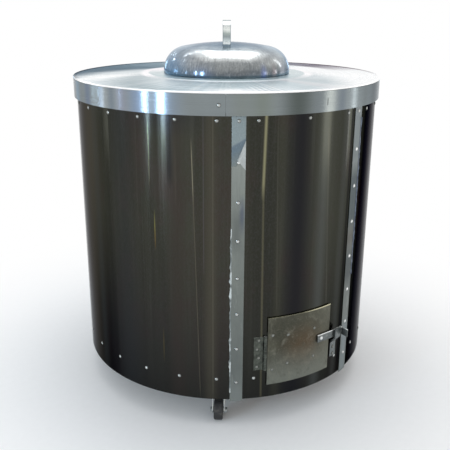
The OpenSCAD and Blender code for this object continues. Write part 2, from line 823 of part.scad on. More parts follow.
module door_plug_fill() {
  wall = plug_pan_t + fit_gap;
  inset_az = arc_az(wall, plug_ro);
  half = plug_w / 2 - wall;
  color("#e6e2d6") difference() {
    arc_plate(plug_ri + wall, plug_ro, door_z - half, door_z + half,
      -plug_half_az + inset_az, plug_half_az - inset_az);
    at_plug_rivets() rivet_hole(plug_grip);
  }
}

module door_plug_rivets() {
  color("#d0d0ca") at_plug_rivets() rivet(plug_grip, small_head_r, small_head_h);
}

module latch_spacer() {
  color("#a3a7a8") on_drum(latch_az, latch_z, door_ro) difference() {
    cylinder(h = spacer_t, r = pivot_d * 1.25, $fn = small_fn);
    translate([0, 0, -cut]) cylinder(h = spacer_t + 2 * cut, r = pivot_d / 2 + fit_gap, $fn = small_fn);
  }
}

module latch_pivot_rivet() {
  head_r = bar_back_r + slide_gap;
  color("#e2e4e4") on_drum(latch_az, latch_z, head_r)
    rivet(head_r - door_ri, rivet_head_d * 0.6, rivet_head_h * 1.2, pivot_d / 2);
}

// Flat bar that turns on its rivet, with its end bent out as a finger tab
module latch_bar() {
  bend_r = bar_t + bar_bend_ri;
  outline = concat(
    [[-bar_tail, 0], [bar_l - bend_r, 0]],
    arc_pts(bar_l - bend_r, bend_r, bend_r, -90, 0, 6),
    [[bar_l, tab_l], [bar_l - bar_t, tab_l]],
    arc_pts(bar_l - bend_r, bend_r, bend_r - bar_t, 0, -90, 4),
    [[-bar_tail, bar_t]]
  );
  color("#a9acab") rotate([0, 0, latch_az]) translate([0, -bar_face_r, latch_z]) difference() {
    translate([0, 0, -bar_h / 2]) mirror([0, 1, 0]) linear_extrude(height = bar_h) polygon(outline);
    rotate([90, 0, 0]) translate([0, 0, -cut])
      cylinder(h = bar_t + 2 * cut, r = pivot_d / 2 + run_gap, $fn = small_fn);
  }
}

// Lid outline at a distance in from its outer face: wall, shoulder and crown
function lid_outline(inset) = concat(
  [[lid_r - inset, lid_z]],
  arc_pts(lid_r - lid_shoulder_r, lid_z + lid_wall_h, lid_shoulder_r - inset, 0, lid_blend, 12),
  arc_pts(0, crown_z - lid_crown_r, lid_crown_r - inset, lid_blend, 90, 6)
);

module lid_dome() {
  color("#b9bcbd") difference() {
    turned(concat(lid_outline(0), reversed(lid_outline(lid_t))));
    at_handle_feet() rivet_hole(handle_t + lid_t + fit_gap);
  }
}

// Places children on each foot of the handle, with its upper face as z = 0
module at_handle_feet() {
  for (side = [-1, 1])
    rotate([0, 0, handle_az]) translate([0, side * handle_foot_y, foot_z]) rotate([-side * foot_tilt, 0, 0])
      translate([0, 0, handle_t + fit_gap]) children();
}

// Strap bent to a bridge: its feet lie on the crown, along its tangent
module lid_handle() {
  y_out = handle_span / 2;
  y_in = y_out - handle_t;
  y_end = y_in + handle_foot_l;
  corner = handle_corner_r;
  slope = tan(foot_tilt);
  seat_z = foot_z + fit_gap;
  function seat(y) = seat_z - slope * (y - handle_foot_y);
  outer_half = concat(
    [[y_end, seat(y_end)], [y_end, seat(y_end) + handle_t], [y_out, seat(y_out) + handle_t]],
    arc_pts(y_out - corner, handle_top_z - corner, corner, 0, 90, 8)
  );
  inner_half = concat(
    [[y_in, seat(y_in)]],
    arc_pts(y_out - corner, handle_top_z - corner, corner - handle_t, 0, 90, 8)
  );
  color("#c4c8c8") difference() {
    rotate([0, 0, handle_az]) translate([-handle_w / 2, 0, 0]) rotate([90, 0, 90])
      linear_extrude(height = handle_w) polygon(concat(
        outer_half,
        mirrored(outer_half),
        reversed(mirrored(inner_half)),
        reversed(inner_half)
      ));
    at_handle_feet() rivet_hole(handle_t + lid_t + fit_gap);
  }
}

module lid_handle_rivets() {
  color("#e2e4e4") at_handle_feet() rivet(handle_t + lid_t + fit_gap, small_head_r, small_head_h);
}

// Places children at a castor's swivel, with the trailing side along -Y. All castors trail the same way
module at_castor(k) {
  az = castor_az + (k - 1) * castor_step_az;
  rotate([0, 0, az]) translate([0, -castor_r, 0]) rotate([0, 0, castor_az - az]) children();
}

module at_plate_bolts() {
  for (sx = [-1, 1], sy = [-1, 1]) translate([sx, sy, 0] * castor_bolt_pitch / 2) children();
}

// Square plate with the fixed half of the swivel
module castor_plate(k) {
  color("#9b9fa1") at_castor(k) difference() {
    union() {
      translate([-castor_plate_w / 2, -castor_plate_w / 2, hem_z - castor_plate_t])
        cube([castor_plate_w, castor_plate_w, castor_plate_t]);
      translate([0, 0, race_z]) cylinder(h = race_h + cut, r = race_r, $fn = small_fn);
    }
    translate([0, 0, race_z - cut])
      cylinder(h = hem_z - race_z + 2 * cut, d = kingpin_d + fit_gap, $fn = small_fn);
    at_plate_bolts() translate([0, 0, hem_z - castor_plate_t - cut])
      cylinder(h = castor_plate_t + 2 * cut, d = bolt_d + fit_gap, $fn = small_fn);
  }
}

module castor_plate_bolts() {
  head_z = hem_z - castor_plate_t - bolt_head_h;
  color("#b5b8b8") for (k = castors) at_castor(k) at_plate_bolts() {
    translate([0, 0, head_z]) hexagon(bolt_hex_r, bolt_head_h);
    translate([0, 0, head_z + cut]) cylinder(h = slab_z + nut_h - head_z, d = bolt_d, $fn = small_fn);
    translate([0, 0, slab_z]) hexagon(bolt_hex_r, nut_h);
  }
}

module castor_kingpins() {
  head_z = fork_top_z - fork_top_t - slide_gap - kingpin_head_h;
  color("#b5b8b8") for (k = castors) at_castor(k) {
    translate([0, 0, head_z]) cylinder(h = kingpin_head_h, r = kingpin_head_r, $fn = small_fn);
    translate([0, 0, head_z]) cylinder(h = hem_z - head_z, d = kingpin_d, $fn = small_fn);
  }
}

// Side plate of the fork, from the swivel down to the axle boss
module fork_cheek() {
  axle = [-trail, wheel_r];
  front = [fork_top_r * 0.7, fork_top_z];
  back = [-fork_top_r * 0.7, fork_top_z];
  rotate([90, 0, 90]) linear_extrude(height = cheek_t)
    polygon([front, back, touch_pt(back, axle, boss_r, -1), touch_pt(front, axle, boss_r, 1)]);
  translate([0, axle.x, axle.y]) rotate([0, 90, 0]) cylinder(h = cheek_t, r = boss_r, $fn = small_fn);
}

module castor_fork(k) {
  color("#a3a7a8") at_castor(k) difference() {
    union() {
      translate([0, 0, fork_top_z - fork_top_t]) cylinder(h = fork_top_t, r = fork_top_r, $fn = small_fn);
      translate([cheek_x, 0, 0]) fork_cheek();
      translate([-cheek_x - cheek_t, 0, 0]) fork_cheek();
    }
    translate([0, 0, fork_top_z - fork_top_t - cut])
      cylinder(h = fork_top_t + 2 * cut, r = kingpin_d / 2 + run_gap, $fn = small_fn);
    translate([-cheek_x - cheek_t - cut, -trail, wheel_r]) rotate([0, 90, 0])
      cylinder(h = 2 * (cheek_x + cheek_t + cut), d = axle_d + fit_gap, $fn = small_fn);
  }
}

module castor_axle(k) {
  end_x = cheek_x + cheek_t;
  color("#b5b8b8") at_castor(k) translate([-end_x, -trail, wheel_r]) rotate([0, 90, 0]) {
    translate([0, 0, -cut]) cylinder(h = cut + 2 * end_x + nut_h, d = axle_d, $fn = small_fn);
    translate([0, 0, -bolt_head_h]) hexagon(axle_hex_r, bolt_head_h);
    translate([0, 0, 2 * end_x]) hexagon(axle_hex_r, nut_h);
  }
}

module castor_hub(k) {
  half = wheel_w / 2;
  web = half - hub_dish;
  bore_r = axle_d / 2 + run_gap;
  boss_ro = axle_d / 2 + hub_boss_t;
  rim_ri = tyre_ri - hub_rim_t;
  color("#56585a") at_castor(k) translate([0, -trail, wheel_r]) rotate([0, 90, 0]) turned([
    [bore_r, -half],
    [boss_ro, -half],
    [boss_ro + hub_slope, -web],
    [rim_ri - hub_slope, -web],
    [rim_ri, -tyre_half_w],
    [tyre_ri, -tyre_half_w],
    [tyre_ri, tyre_half_w],
    [rim_ri, tyre_half_w],
    [rim_ri - hub_slope, web],
    [boss_ro + hub_slope, web],
    [boss_ro, half],
    [bore_r, half]
  ], 2 * small_fn);
}

module castor_tyre(k) {
  c = tyre_corner_r;
  color("#262626") at_castor(k) translate([0, -trail, wheel_r]) rotate([0, 90, 0]) turned(concat(
    [[tyre_ri + fit_gap, -tyre_half_w]],
    arc_pts(wheel_r - c, -tyre_half_w + c, c, -90, 0, 4),
    arc_pts(wheel_r - c, tyre_half_w - c, c, 0, 90, 4),
    [[tyre_ri + fit_gap, tyre_half_w]]
  ), 2 * small_fn);
}

shell_wrap_sheet();
shell_door_sheet();
seam_strap(-1);  // front_seam_strap
seam_strap(1);  // side_seam_strap
strap_rivets(-1);  // front_strap_rivets
strap_rivets(1);  // side_strap_rivets
seam_backing_strips();
row_rivets(concat(wrap_row_azs, [-door_row_az, 0, door_row_az]), top_row_z);  // top_row_rivets
row_rivets(concat(wrap_row_azs, [-door_row_az, door_row_az]), bottom_row_z);  // bottom_row_rivets
rim_band();
rim_band_rivet();
top_plate();
top_support_ring();
clay_pot();
insulation_fill();
hearth_slab();
fire_grate();
base_pan();
ash_tunnel();
latch_keeper();
latch_keeper_rivets();
hinge_drum_leaf();
hinge_drum_leaf_rivets();
hinge_pin();
door_plate();
hinge_door_leaf();
hinge_door_leaf_rivets();
door_plug_pan();
door_plug_fill();
door_plug_rivets();
latch_spacer();
latch_pivot_rivet();
latch_bar();
lid_dome();
lid_handle();
lid_handle_rivets();
castor_plate(1);  // castor_1_plate
castor_plate(2);  // castor_2_plate
castor_plate(3);  // castor_3_plate
castor_plate(4);  // castor_4_plate
castor_plate_bolts();
castor_kingpins();
castor_fork(1);  // castor_1_fork
castor_fork(2);  // castor_2_fork
castor_fork(3);  // castor_3_fork
castor_fork(4);  // castor_4_fork
castor_axle(1);  // castor_1_axle
castor_axle(2);  // castor_2_axle
castor_axle(3);  // castor_3_axle
castor_axle(4);  // castor_4_axle
castor_hub(1);  // castor_1_hub
castor_hub(2);  // castor_2_hub
castor_hub(3);  // castor_3_hub
castor_hub(4);  // castor_4_hub
castor_tyre(1);  // castor_1_tyre
castor_tyre(2);  // castor_2_tyre
castor_tyre(3);  // castor_3_tyre
castor_tyre(4);  // castor_4_tyre
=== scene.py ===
import math

import bmesh
import bpy
import numpy as np
from bpy.props import FloatProperty, FloatVectorProperty, IntProperty, PointerProperty
from mathutils import Matrix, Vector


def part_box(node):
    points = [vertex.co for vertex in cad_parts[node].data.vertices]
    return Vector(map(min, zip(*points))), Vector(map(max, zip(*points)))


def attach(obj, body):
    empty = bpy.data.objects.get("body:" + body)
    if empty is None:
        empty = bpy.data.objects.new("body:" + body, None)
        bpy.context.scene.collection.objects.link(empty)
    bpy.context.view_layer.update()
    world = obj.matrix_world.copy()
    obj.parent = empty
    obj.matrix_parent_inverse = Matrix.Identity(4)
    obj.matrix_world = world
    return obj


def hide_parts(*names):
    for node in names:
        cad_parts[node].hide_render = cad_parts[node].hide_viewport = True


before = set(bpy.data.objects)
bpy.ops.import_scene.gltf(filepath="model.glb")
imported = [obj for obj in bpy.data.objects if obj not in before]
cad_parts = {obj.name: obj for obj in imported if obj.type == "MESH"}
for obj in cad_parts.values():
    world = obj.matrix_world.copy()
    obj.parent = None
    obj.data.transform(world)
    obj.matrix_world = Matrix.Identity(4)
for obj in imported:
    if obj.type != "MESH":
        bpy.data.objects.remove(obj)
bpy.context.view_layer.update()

bl_info = {
    "name": "Barrel Tandoor",
    "version": (1, 0, 0),
    "blender": (4, 5, 0),
    "location": "3D View > Sidebar > Tandoor",
    "description": "Finishes, lid, handle and film scraps of a riveted barrel tandoor",
    "category": "Add Mesh",
}

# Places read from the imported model, in metres. Azimuths count from -Y towards +X.
BAND_R, _, BAND_TOP_Z = (float(v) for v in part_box("rim_band")[1])
STRAP_FACE_R = BAND_R - 0.0054
PLATE_R = float(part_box("top_plate")[1][0])
LATCH_TOP_Z = float(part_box("latch_bar")[1][2])
DOOR_TOP_Z = float(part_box("door_plate")[1][2])
LID_BOX, HANDLE_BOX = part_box("lid_dome"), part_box("lid_handle")
LID_R = float(LID_BOX[1][0] - LID_BOX[0][0]) / 2
LID_Z, HANDLE_Z = ([float(corner[2]) for corner in box] for box in (LID_BOX, HANDLE_BOX))
DRUM_R, STRAP_W = 0.381, 0.030
FRONT_SEAM_AZ, SIDE_SEAM_AZ = -24.2, 24.2
HANDLE_AZ = -28.2
DOOR_MIDDLE_Z = 0.192
# The stage, in metres and degrees: strips stand round the drum's axis, hall lamps round the lid's middle
STRIP_DISTANCE, HALL_DISTANCE = 2.6, 3.0
LID_MIDDLE_Z = 0.84
EYE_AZ, EYE_DISTANCE, EYE_Z = -28.2, 1.761, 0.969
PHOTO_W, PHOTO_FOCAL = 450.0, 667.0
QUARTER_TURN = 0.25
# A leaning mark crosses its middle azimuth at LEAN_Z, and a mark's ends fade over twice SOFT_END
LEAN_Z, SOFT_END = 0.4, 0.02


# ---------------- colours

def shade(red, green, blue):
    """A colour given as 0-255 values of a screen, turned into linear light."""
    values = np.array((red, green, blue), float) / 255.0
    low, high = values / 12.92, ((values + 0.055) / 1.055) ** 2.4
    return tuple(float(v) for v in np.where(values < 0.04045, low, high))


def solid(colour):
    return (*colour[:3], 1.0)


# ---------------- finishes

class Finish:
    """A procedural finish: one Principled shader, fed by textures on Object coordinates in metres."""

    def __init__(self, name, colour, metallic, roughness, **more):
        self.material = bpy.data.materials.new(name)
        self.material.use_nodes = True
        self.material.diffuse_color = solid(colour)
        self.tree = self.material.node_tree
        self.shader = self.tree.nodes["Principled BSDF"]
        self.tone = solid(colour)
        self.set("Metallic", metallic)
        self.set("Roughness", roughness)
        for words, value in more.items():
            self.set(words.replace("_", " ").title(), value)
        self.place = self.node("TexCoord").outputs["Object"]
        parts = self.node("SeparateXYZ", {0: self.place}).outputs
        self.x, self.y, self.z = parts[0], parts[1], parts[2]

    def set(self, socket, value):
        self.put(self.shader.inputs[socket], value)

    def put(self, socket, value):
        if isinstance(value, bpy.types.NodeSocket):
            self.tree.links.new(value, socket)
        else:
            socket.default_value = value

    def node(self, kind, feeds=None, **settings):
        made = self.tree.nodes.new("ShaderNode" + kind)
        for key, value in settings.items():
            setattr(made, key, value)
        for key, value in (feeds or {}).items():
            self.put(made.inputs[key], value)
        return made

    def done(self, normal, roughness=None):
        """The material, once its tone, its normal and any mapped roughness are joined to the shader."""
        self.set("Base Color", self.tone)
        self.set("Normal", normal)
        if roughness is not None:
            self.set("Roughness", roughness)
        return self.material

    def calc(self, operation, *values):
        return self.node("Math", dict(enumerate(values)), operation=operation).outputs[0]

    def times(self, product, *others):
        for other in others:
            product = self.calc("MULTIPLY", product, other)
        return product

    def gap(self, first, second):
        """Distance between two values."""
        return self.calc("ABSOLUTE", self.calc("SUBTRACT", first, second))

    def point(self, x, y, z):
        return self.node("CombineXYZ", {0: x, 1: y, 2: z}).outputs[0]

    def vector(self, operation, *values, output="Vector"):
        return self.node("VectorMath", dict(enumerate(values)), operation=operation).outputs[output]

    def measure(self, operation, *values):
        return self.vector(operation, *values, output="Value")

    def noise(self, vector, scale, detail, roughness=0.55, distortion=0.0):
        feeds = {"Vector": vector, "Scale": scale, "Detail": detail, "Roughness": roughness,
                 "Distortion": distortion}
        return self.node("TexNoise", feeds).outputs[0]

    def grain(self, scale, detail, roughness=0.55, distortion=0.0, shift=(0.0, 0.0, 0.0)):
        """Noise on Object coordinates, whose scale is one number or three along X, Y and Z."""
        scales = scale if isinstance(scale, tuple) else (scale,) * 3
        place = self.node("Mapping", {0: self.place, "Location": shift, "Scale": scales}).outputs[0]
        return self.noise(place, 1.0, detail, roughness, distortion)

    def cells(self, scale, output="Distance"):
        return self.node("TexVoronoi", {"Vector": self.place, "Scale": scale}).outputs[output]

    def ramp(self, value, low, high, to_low=0.0, to_high=1.0, curve="LINEAR"):
        """The value's stretch from low to high, spread over to_low to to_high and held at its ends."""
        feeds = {0: value, 1: low, 2: high, 3: to_low, 4: to_high}
        return self.node("MapRange", feeds, interpolation_type=curve).outputs[0]

    def level(self, noise, to_low=0.0, to_high=1.0):
        """A noise, which mostly lies between 0.3 and 0.7, spread over to_low to to_high."""
        return self.ramp(noise, 0.3, 0.7, to_low, to_high)

    def fall(self, value, low, high):
        """1 up to the low value, 0 past the high one."""
        return self.ramp(value, low, high, 1.0, 0.0)

    def blend(self, share, first, second):
        """Mix of two screen colours."""
        return self.mix(share, shade(*first), shade(*second))

    def mix(self, share, first, second):
        made = self.node("Mix", data_type="RGBA")
        for socket, value in ((0, share), (6, first), (7, second)):
            self.put(made.inputs[socket], solid(value) if isinstance(value, tuple) else value)
        return made.outputs[2]

    def tones(self, value, *stops):
        """Starts the tone as a colour ramp, whose stops are place, red, green, blue."""
        ramp = self.node("ValToRGB", {0: value})
        self.tone = ramp.outputs[0]
        marks = ramp.color_ramp.elements
        stops = [(place, solid(shade(*screen))) for place, *screen in stops]
        for mark, stop in zip((marks[0], marks[1]), (stops[0], stops[-1])):
            mark.position, mark.color = stop
        for place, colour in stops[1:-1]:
            marks.new(place).color = colour

    def cover(self, share, *screen):
        """Covers a share of the tone with a red, green and blue of the screen."""
        self.tone = self.mix(share, self.tone, shade(*screen))

    def stain(self, value, low, high, most, *screen):
        """Covers the tone by nothing at the low value, and by the most at the high one."""
        self.cover(self.ramp(value, low, high, 0.0, most), *screen)

    def bump(self, height, strength, distance, under=None):
        feeds = {"Height": height, "Strength": strength, "Distance": distance}
        if under is not None:
            feeds["Normal"] = under
        return self.node("Bump", feeds).outputs[0]

    def azimuth(self):
        """Degrees round the drum's axis, from -Y towards +X."""
        angle = self.calc("ARCTAN2", self.x, self.times(self.y, -1.0))
        return self.times(angle, 180.0 / math.pi)

    def level_place(self):
        return self.vector("MULTIPLY", self.place, (1.0, 1.0, 0.0))

    def reach(self):
        """Distance from the drum's axis."""
        return self.measure("LENGTH", self.level_place())

    def outward(self):
        """Level direction away from the drum's axis, of length 1."""
        return self.vector("NORMALIZE", self.level_place())

    def upward(self):
        """1 on faces that look up, 0 on upright ones."""
        normal = self.node("SeparateXYZ", {0: self.node("TexCoord").outputs["Normal"]}).outputs[2]
        return self.ramp(normal, 0.55, 0.85)

    def brush_round(self, amount):
        """Brushed grain that runs round the axis: the tangent is the object's (-y, x, 0), of length 1."""
        grain = self.vector("NORMALIZE", self.point(self.times(self.y, -1.0), self.x, 0.0))
        grain = self.node("VectorTransform", {0: grain}, vector_type="VECTOR", convert_from="OBJECT",
                          convert_to="WORLD").outputs[0]
        self.set("Tangent", grain)
        self.set("Anisotropic", amount)
        self.set("Anisotropic Rotation", QUARTER_TURN)

    def mark(self, az, middle_az, half_width, low_z=0.0, high_z=0.9, lean=0.0):
        """A soft upright streak on the drum: 1 on its middle line, 0 past its half width and ends."""
        line = self.calc("MULTIPLY_ADD", self.calc("SUBTRACT", self.z, LEAN_Z), lean, middle_az)
        across = self.ramp(self.gap(az, line), 0.0, half_width, 1.0, 0.0, "SMOOTHSTEP")
        foot = self.ramp(self.z, low_z - SOFT_END, low_z + SOFT_END)
        return self.times(across, self.times(foot, self.fall(self.z, high_z - SOFT_END, high_z + SOFT_END)))

    def marks(self, az, *rows):
        """Coloured marks: middle azimuth, half width, low and high z, lean, share, red, green, blue."""
        for middle, half, low, high, lean, share, *screen in rows:
            self.cover(self.times(self.mark(az, middle, half, low, high, lean), share), *screen)

    def bands(self, az, *rows):
        """Marks of the full height: middle azimuth, half width, share, red, green, blue."""
        for middle, half, share, *screen in rows:
            self.cover(self.times(self.mark(az, middle, half), share), *screen)


def drum_sheet_finish(colours):
    """Dark stained stainless sheet: hair streaks, a crease, smudges and a slight waviness. Upright light and
    dark bands, thin light streaks and a lighter left edge are painted reflections; thin dark streaks and the
    darkening towards the bottom, over the lower left and under the rim band are painted shade.
    """
    made = Finish("drum_sheet", colours.drum, 1, 0.16, specular_tint=(0.36, 0.36, 0.37, 1))
    az = made.azimuth()
    broad = made.grain((3.2, 3.2, 0.35), 2)
    fine = made.grain((34, 34, 0.6), 4)
    hair = made.grain((190, 190, 2.2), 2)
    cloud = made.grain((5, 5, 3), 4, shift=(0.3, 0.1, 0))
    made.tones(made.level(broad), (0, 44, 45, 39), (0.5, 57, 58, 50), (1, 70, 72, 64))
    made.stain(fine, 0.35, 0.75, 0.35, 78, 79, 70)
    made.stain(hair, 0.55, 0.8, 0.18, 98, 100, 92)
    made.stain(cloud, 0.5, 0.8, 0.35, 48, 50, 50)
    stain = made.grain((7, 7, 4), 5, 0.7, shift=(0.1, 0.6, 0.2))
    made.stain(stain, 0.5, 0.68, 0.55, 64, 54, 52)
    grit = made.grain(260, 3, 0.8)
    made.stain(grit, 0.45, 0.7, 0.3, 82, 80, 84)
    # Painted shade: darker towards the bottom.
    made.cover(made.ramp(made.z, 0.07, 0.5, 0.62, 0), 34, 34, 36)
    # Painted shade over the lower left.
    left = made.times(made.mark(az, -78, 42, -0.1, 0.9), made.ramp(made.z, 0.2, 0.5, 0.6, 0))
    made.cover(left, 38, 38, 41)
    # Upright bands of the full height, light and dark: painted reflections.
    made.bands(az, (7, 4, 0.45, 88, 92, 90), (-3, 7.5, 0.85, 34, 34, 38), (17.5, 3, 0.4, 84, 86, 84),
               (-10, 3, 0.3, 72, 72, 62), (-33.2, 3.6, 0.5, 80, 78, 68), (-45, 5, 0.35, 60, 52, 50),
               (-66, 9, 0.35, 52, 56, 58), (-82, 4, 0.4, 64, 70, 72), (-92, 9, 0.55, 98, 94, 86),
               (36, 11, 0.9, 30, 29, 36), (50, 13, 0.8, 36, 35, 44), (36.5, 1, 0.35, 74, 62, 54),
               (76, 9, 0.5, 88, 92, 90), (104, 8, 0.5, 84, 86, 80), (150, 12, 0.45, 80, 82, 76),
               (-128, 9, 0.45, 84, 86, 80))
    # Thin streaks: a crease near -16 degrees; the light ones are painted reflections of lamps, the dark ones
    # painted shade, such as the shadow line beside the side strap.
    made.marks(az, (-16.6, 0.8, 0.58, 0.77, 3.4, 0.9, 138, 136, 108),
               (-15.6, 0.6, 0.06, 0.6, -1.4, 0.42, 112, 109, 88),
               (-38.25, 0.24, 0.57, 0.68, -4, 0.75, 142, 138, 120),
               (-38.25, 0.22, 0.08, 0.58, -4, 0.5, 104, 100, 88),
               (-46.9, 1.8, 0.6, 0.78, 0, 0.6, 28, 28, 32), (-32.4, 0.3, 0.08, 0.76, 0, 0.45, 98, 96, 86),
               (-35.5, 0.25, 0.4, 0.76, 0, 0.4, 92, 90, 96), (-54.4, 0.25, 0.6, 0.72, 0, 0.6, 118, 120, 98),
               (-52.8, 0.25, 0.475, 0.515, 0, 0.8, 136, 132, 74),
               (-52.8, 0.25, 0.455, 0.475, 0, 0.8, 132, 102, 50),
               (-50.5, 0.25, 0.17, 0.23, 0, 0.45, 108, 94, 60),
               (-44.9, 0.25, 0.56, 0.67, 0, 0.35, 84, 76, 70),
               (-10.4, 0.3, 0.3, 0.72, -3.5, 0.35, 86, 86, 78),
               (10.5, 0.5, 0.28, 0.7, -7.9, 0.4, 92, 92, 86), (18.2, 0.7, 0.6, 0.76, 0, 0.35, 96, 96, 94),
               (20.6, 1.2, 0.1, 0.76, 0, 0.6, 36, 36, 40))
    # Painted reflection: a lighter band along the left edge, stronger towards the top.
    rising = made.ramp(made.z, 0.25, 0.65, 0.3, 0.75)
    made.cover(made.times(made.mark(az, -88, 13, -0.1, 0.9), rising), 102, 99, 90)
    # Painted shade under the rim band.
    made.marks(az, (-48, 20, 0.716, 0.9, 0, 0.35, 40, 44, 54))
    made.brush_round(0.8)
    waves = made.grain((4, 4, 1.1), 1)
    return made.done(made.bump(hair, 0.05, 0.0005, made.bump(waves, 0.3, 0.01)),
                     made.ramp(made.calc("ADD", hair, cloud), 0.7, 1.3, 0.13, 0.2))


def strap_finish(colours):
    """Dull grey strap: cloudy mill finish with scuffs and a few bright scuff specks, lighter towards the top,
    with light and dark bands at given heights that are painted reflections and painted shade.
    """
    made = Finish("strap_steel", colours.strap, 0.9, 0.42)
    cloud = made.grain((9, 9, 5), 4)
    grain = made.grain((700, 700, 25), 2)
    scuff = made.grain((60, 60, 14), 5, 0.7)
    made.tones(made.level(cloud), (0, 106, 112, 110), (0.5, 122, 128, 124), (1, 140, 145, 139))
    made.stain(made.z, 0.52, 0.64, 0.7, 146, 152, 148)
    made.stain(grain, 0.4, 0.8, 0.25, 94, 98, 98)
    made.stain(scuff, 0.6, 0.75, 0.5, 160, 166, 162)
    az = made.azimuth()
    # Bands at given heights on the two straps: light ones painted reflections, dark ones painted shade.
    made.marks(az, (-22.9, 1.5, 0.5, 0.56, 0, 0.75, 84, 92, 108),
               (-24.6, 2.6, 0.46, 0.53, 0, 0.5, 92, 97, 96), (-24.2, 5, -0.1, 0.11, 0, 0.5, 136, 142, 142),
               (24.2, 9, 0.61, 0.8, 0, 0.8, 112, 120, 124), (24.2, 9, 0.46, 0.6, 0, 0.95, 74, 84, 88),
               (24.2, 9, 0.405, 0.455, 0, 0.8, 84, 82, 76), (24.2, 9, 0.31, 0.395, 0, 0.85, 62, 70, 72),
               (24.2, 4, 0.06, 0.2, 0, 0.5, 132, 144, 152))
    return made.done(made.bump(grain, 0.12, 0.0004, made.bump(cloud, 0.25, 0.004)),
                     made.level(cloud, 0.36, 0.5))


def band_finish(colours):
    """Brushed band: grain lines round the drum, faint smears and one dark scratch, with upright bands that
    are painted reflections: bluish beside the lamp highlights, dark elsewhere.
    """
    made = Finish("band_steel", colours.band, 1, 0.24, specular_tint=(0.6, 0.62, 0.64, 1))
    grain = made.grain((3, 3, 1100), 3)
    broad = made.grain((3.4, 3.4, 1.5), 3, shift=(0.4, 0.2, 0))
    made.tones(made.level(broad), (0, 126, 134, 136), (0.5, 140, 148, 150), (1, 154, 162, 165))
    made.stain(grain, 0.35, 0.7, 0.3, 112, 118, 120)
    az = made.azimuth()
    # Painted reflections: bluish glow beside the lamp highlights, and dark upright bands.
    made.bands(az, (-5, 11, 0.85, 74, 81, 77), (-17, 6, 0.5, 114, 122, 108), (-23.5, 5, 0.3, 124, 130, 118),
               (50, 5, 0.9, 58, 64, 74), (2.5, 4, 0.5, 112, 120, 124), (12.5, 3.5, 0.6, 108, 118, 128),
               (26.5, 3, 0.4, 122, 128, 128), (36, 7, 0.7, 98, 104, 106), (-48, 9, 0.5, 132, 152, 178),
               (-57.5, 6, 0.6, 130, 150, 180), (-64, 4, 0.5, 136, 138, 158), (-68.5, 3, 0.6, 110, 122, 134),
               (-74, 2.5, 0.5, 166, 184, 204), (-83, 4, 0.6, 108, 122, 146), (-94, 5, 0.6, 138, 172, 196))
    off = made.gap(made.z, 0.769)
    scratch = made.times(made.mark(az, 5.95, 0.26), made.fall(off, 0.006, 0.009))
    made.cover(scratch, 50, 54, 58)
    made.brush_round(0.9)
    return made.done(made.bump(grain, 0.1, 0.0004), made.level(grain, 0.19, 0.28))


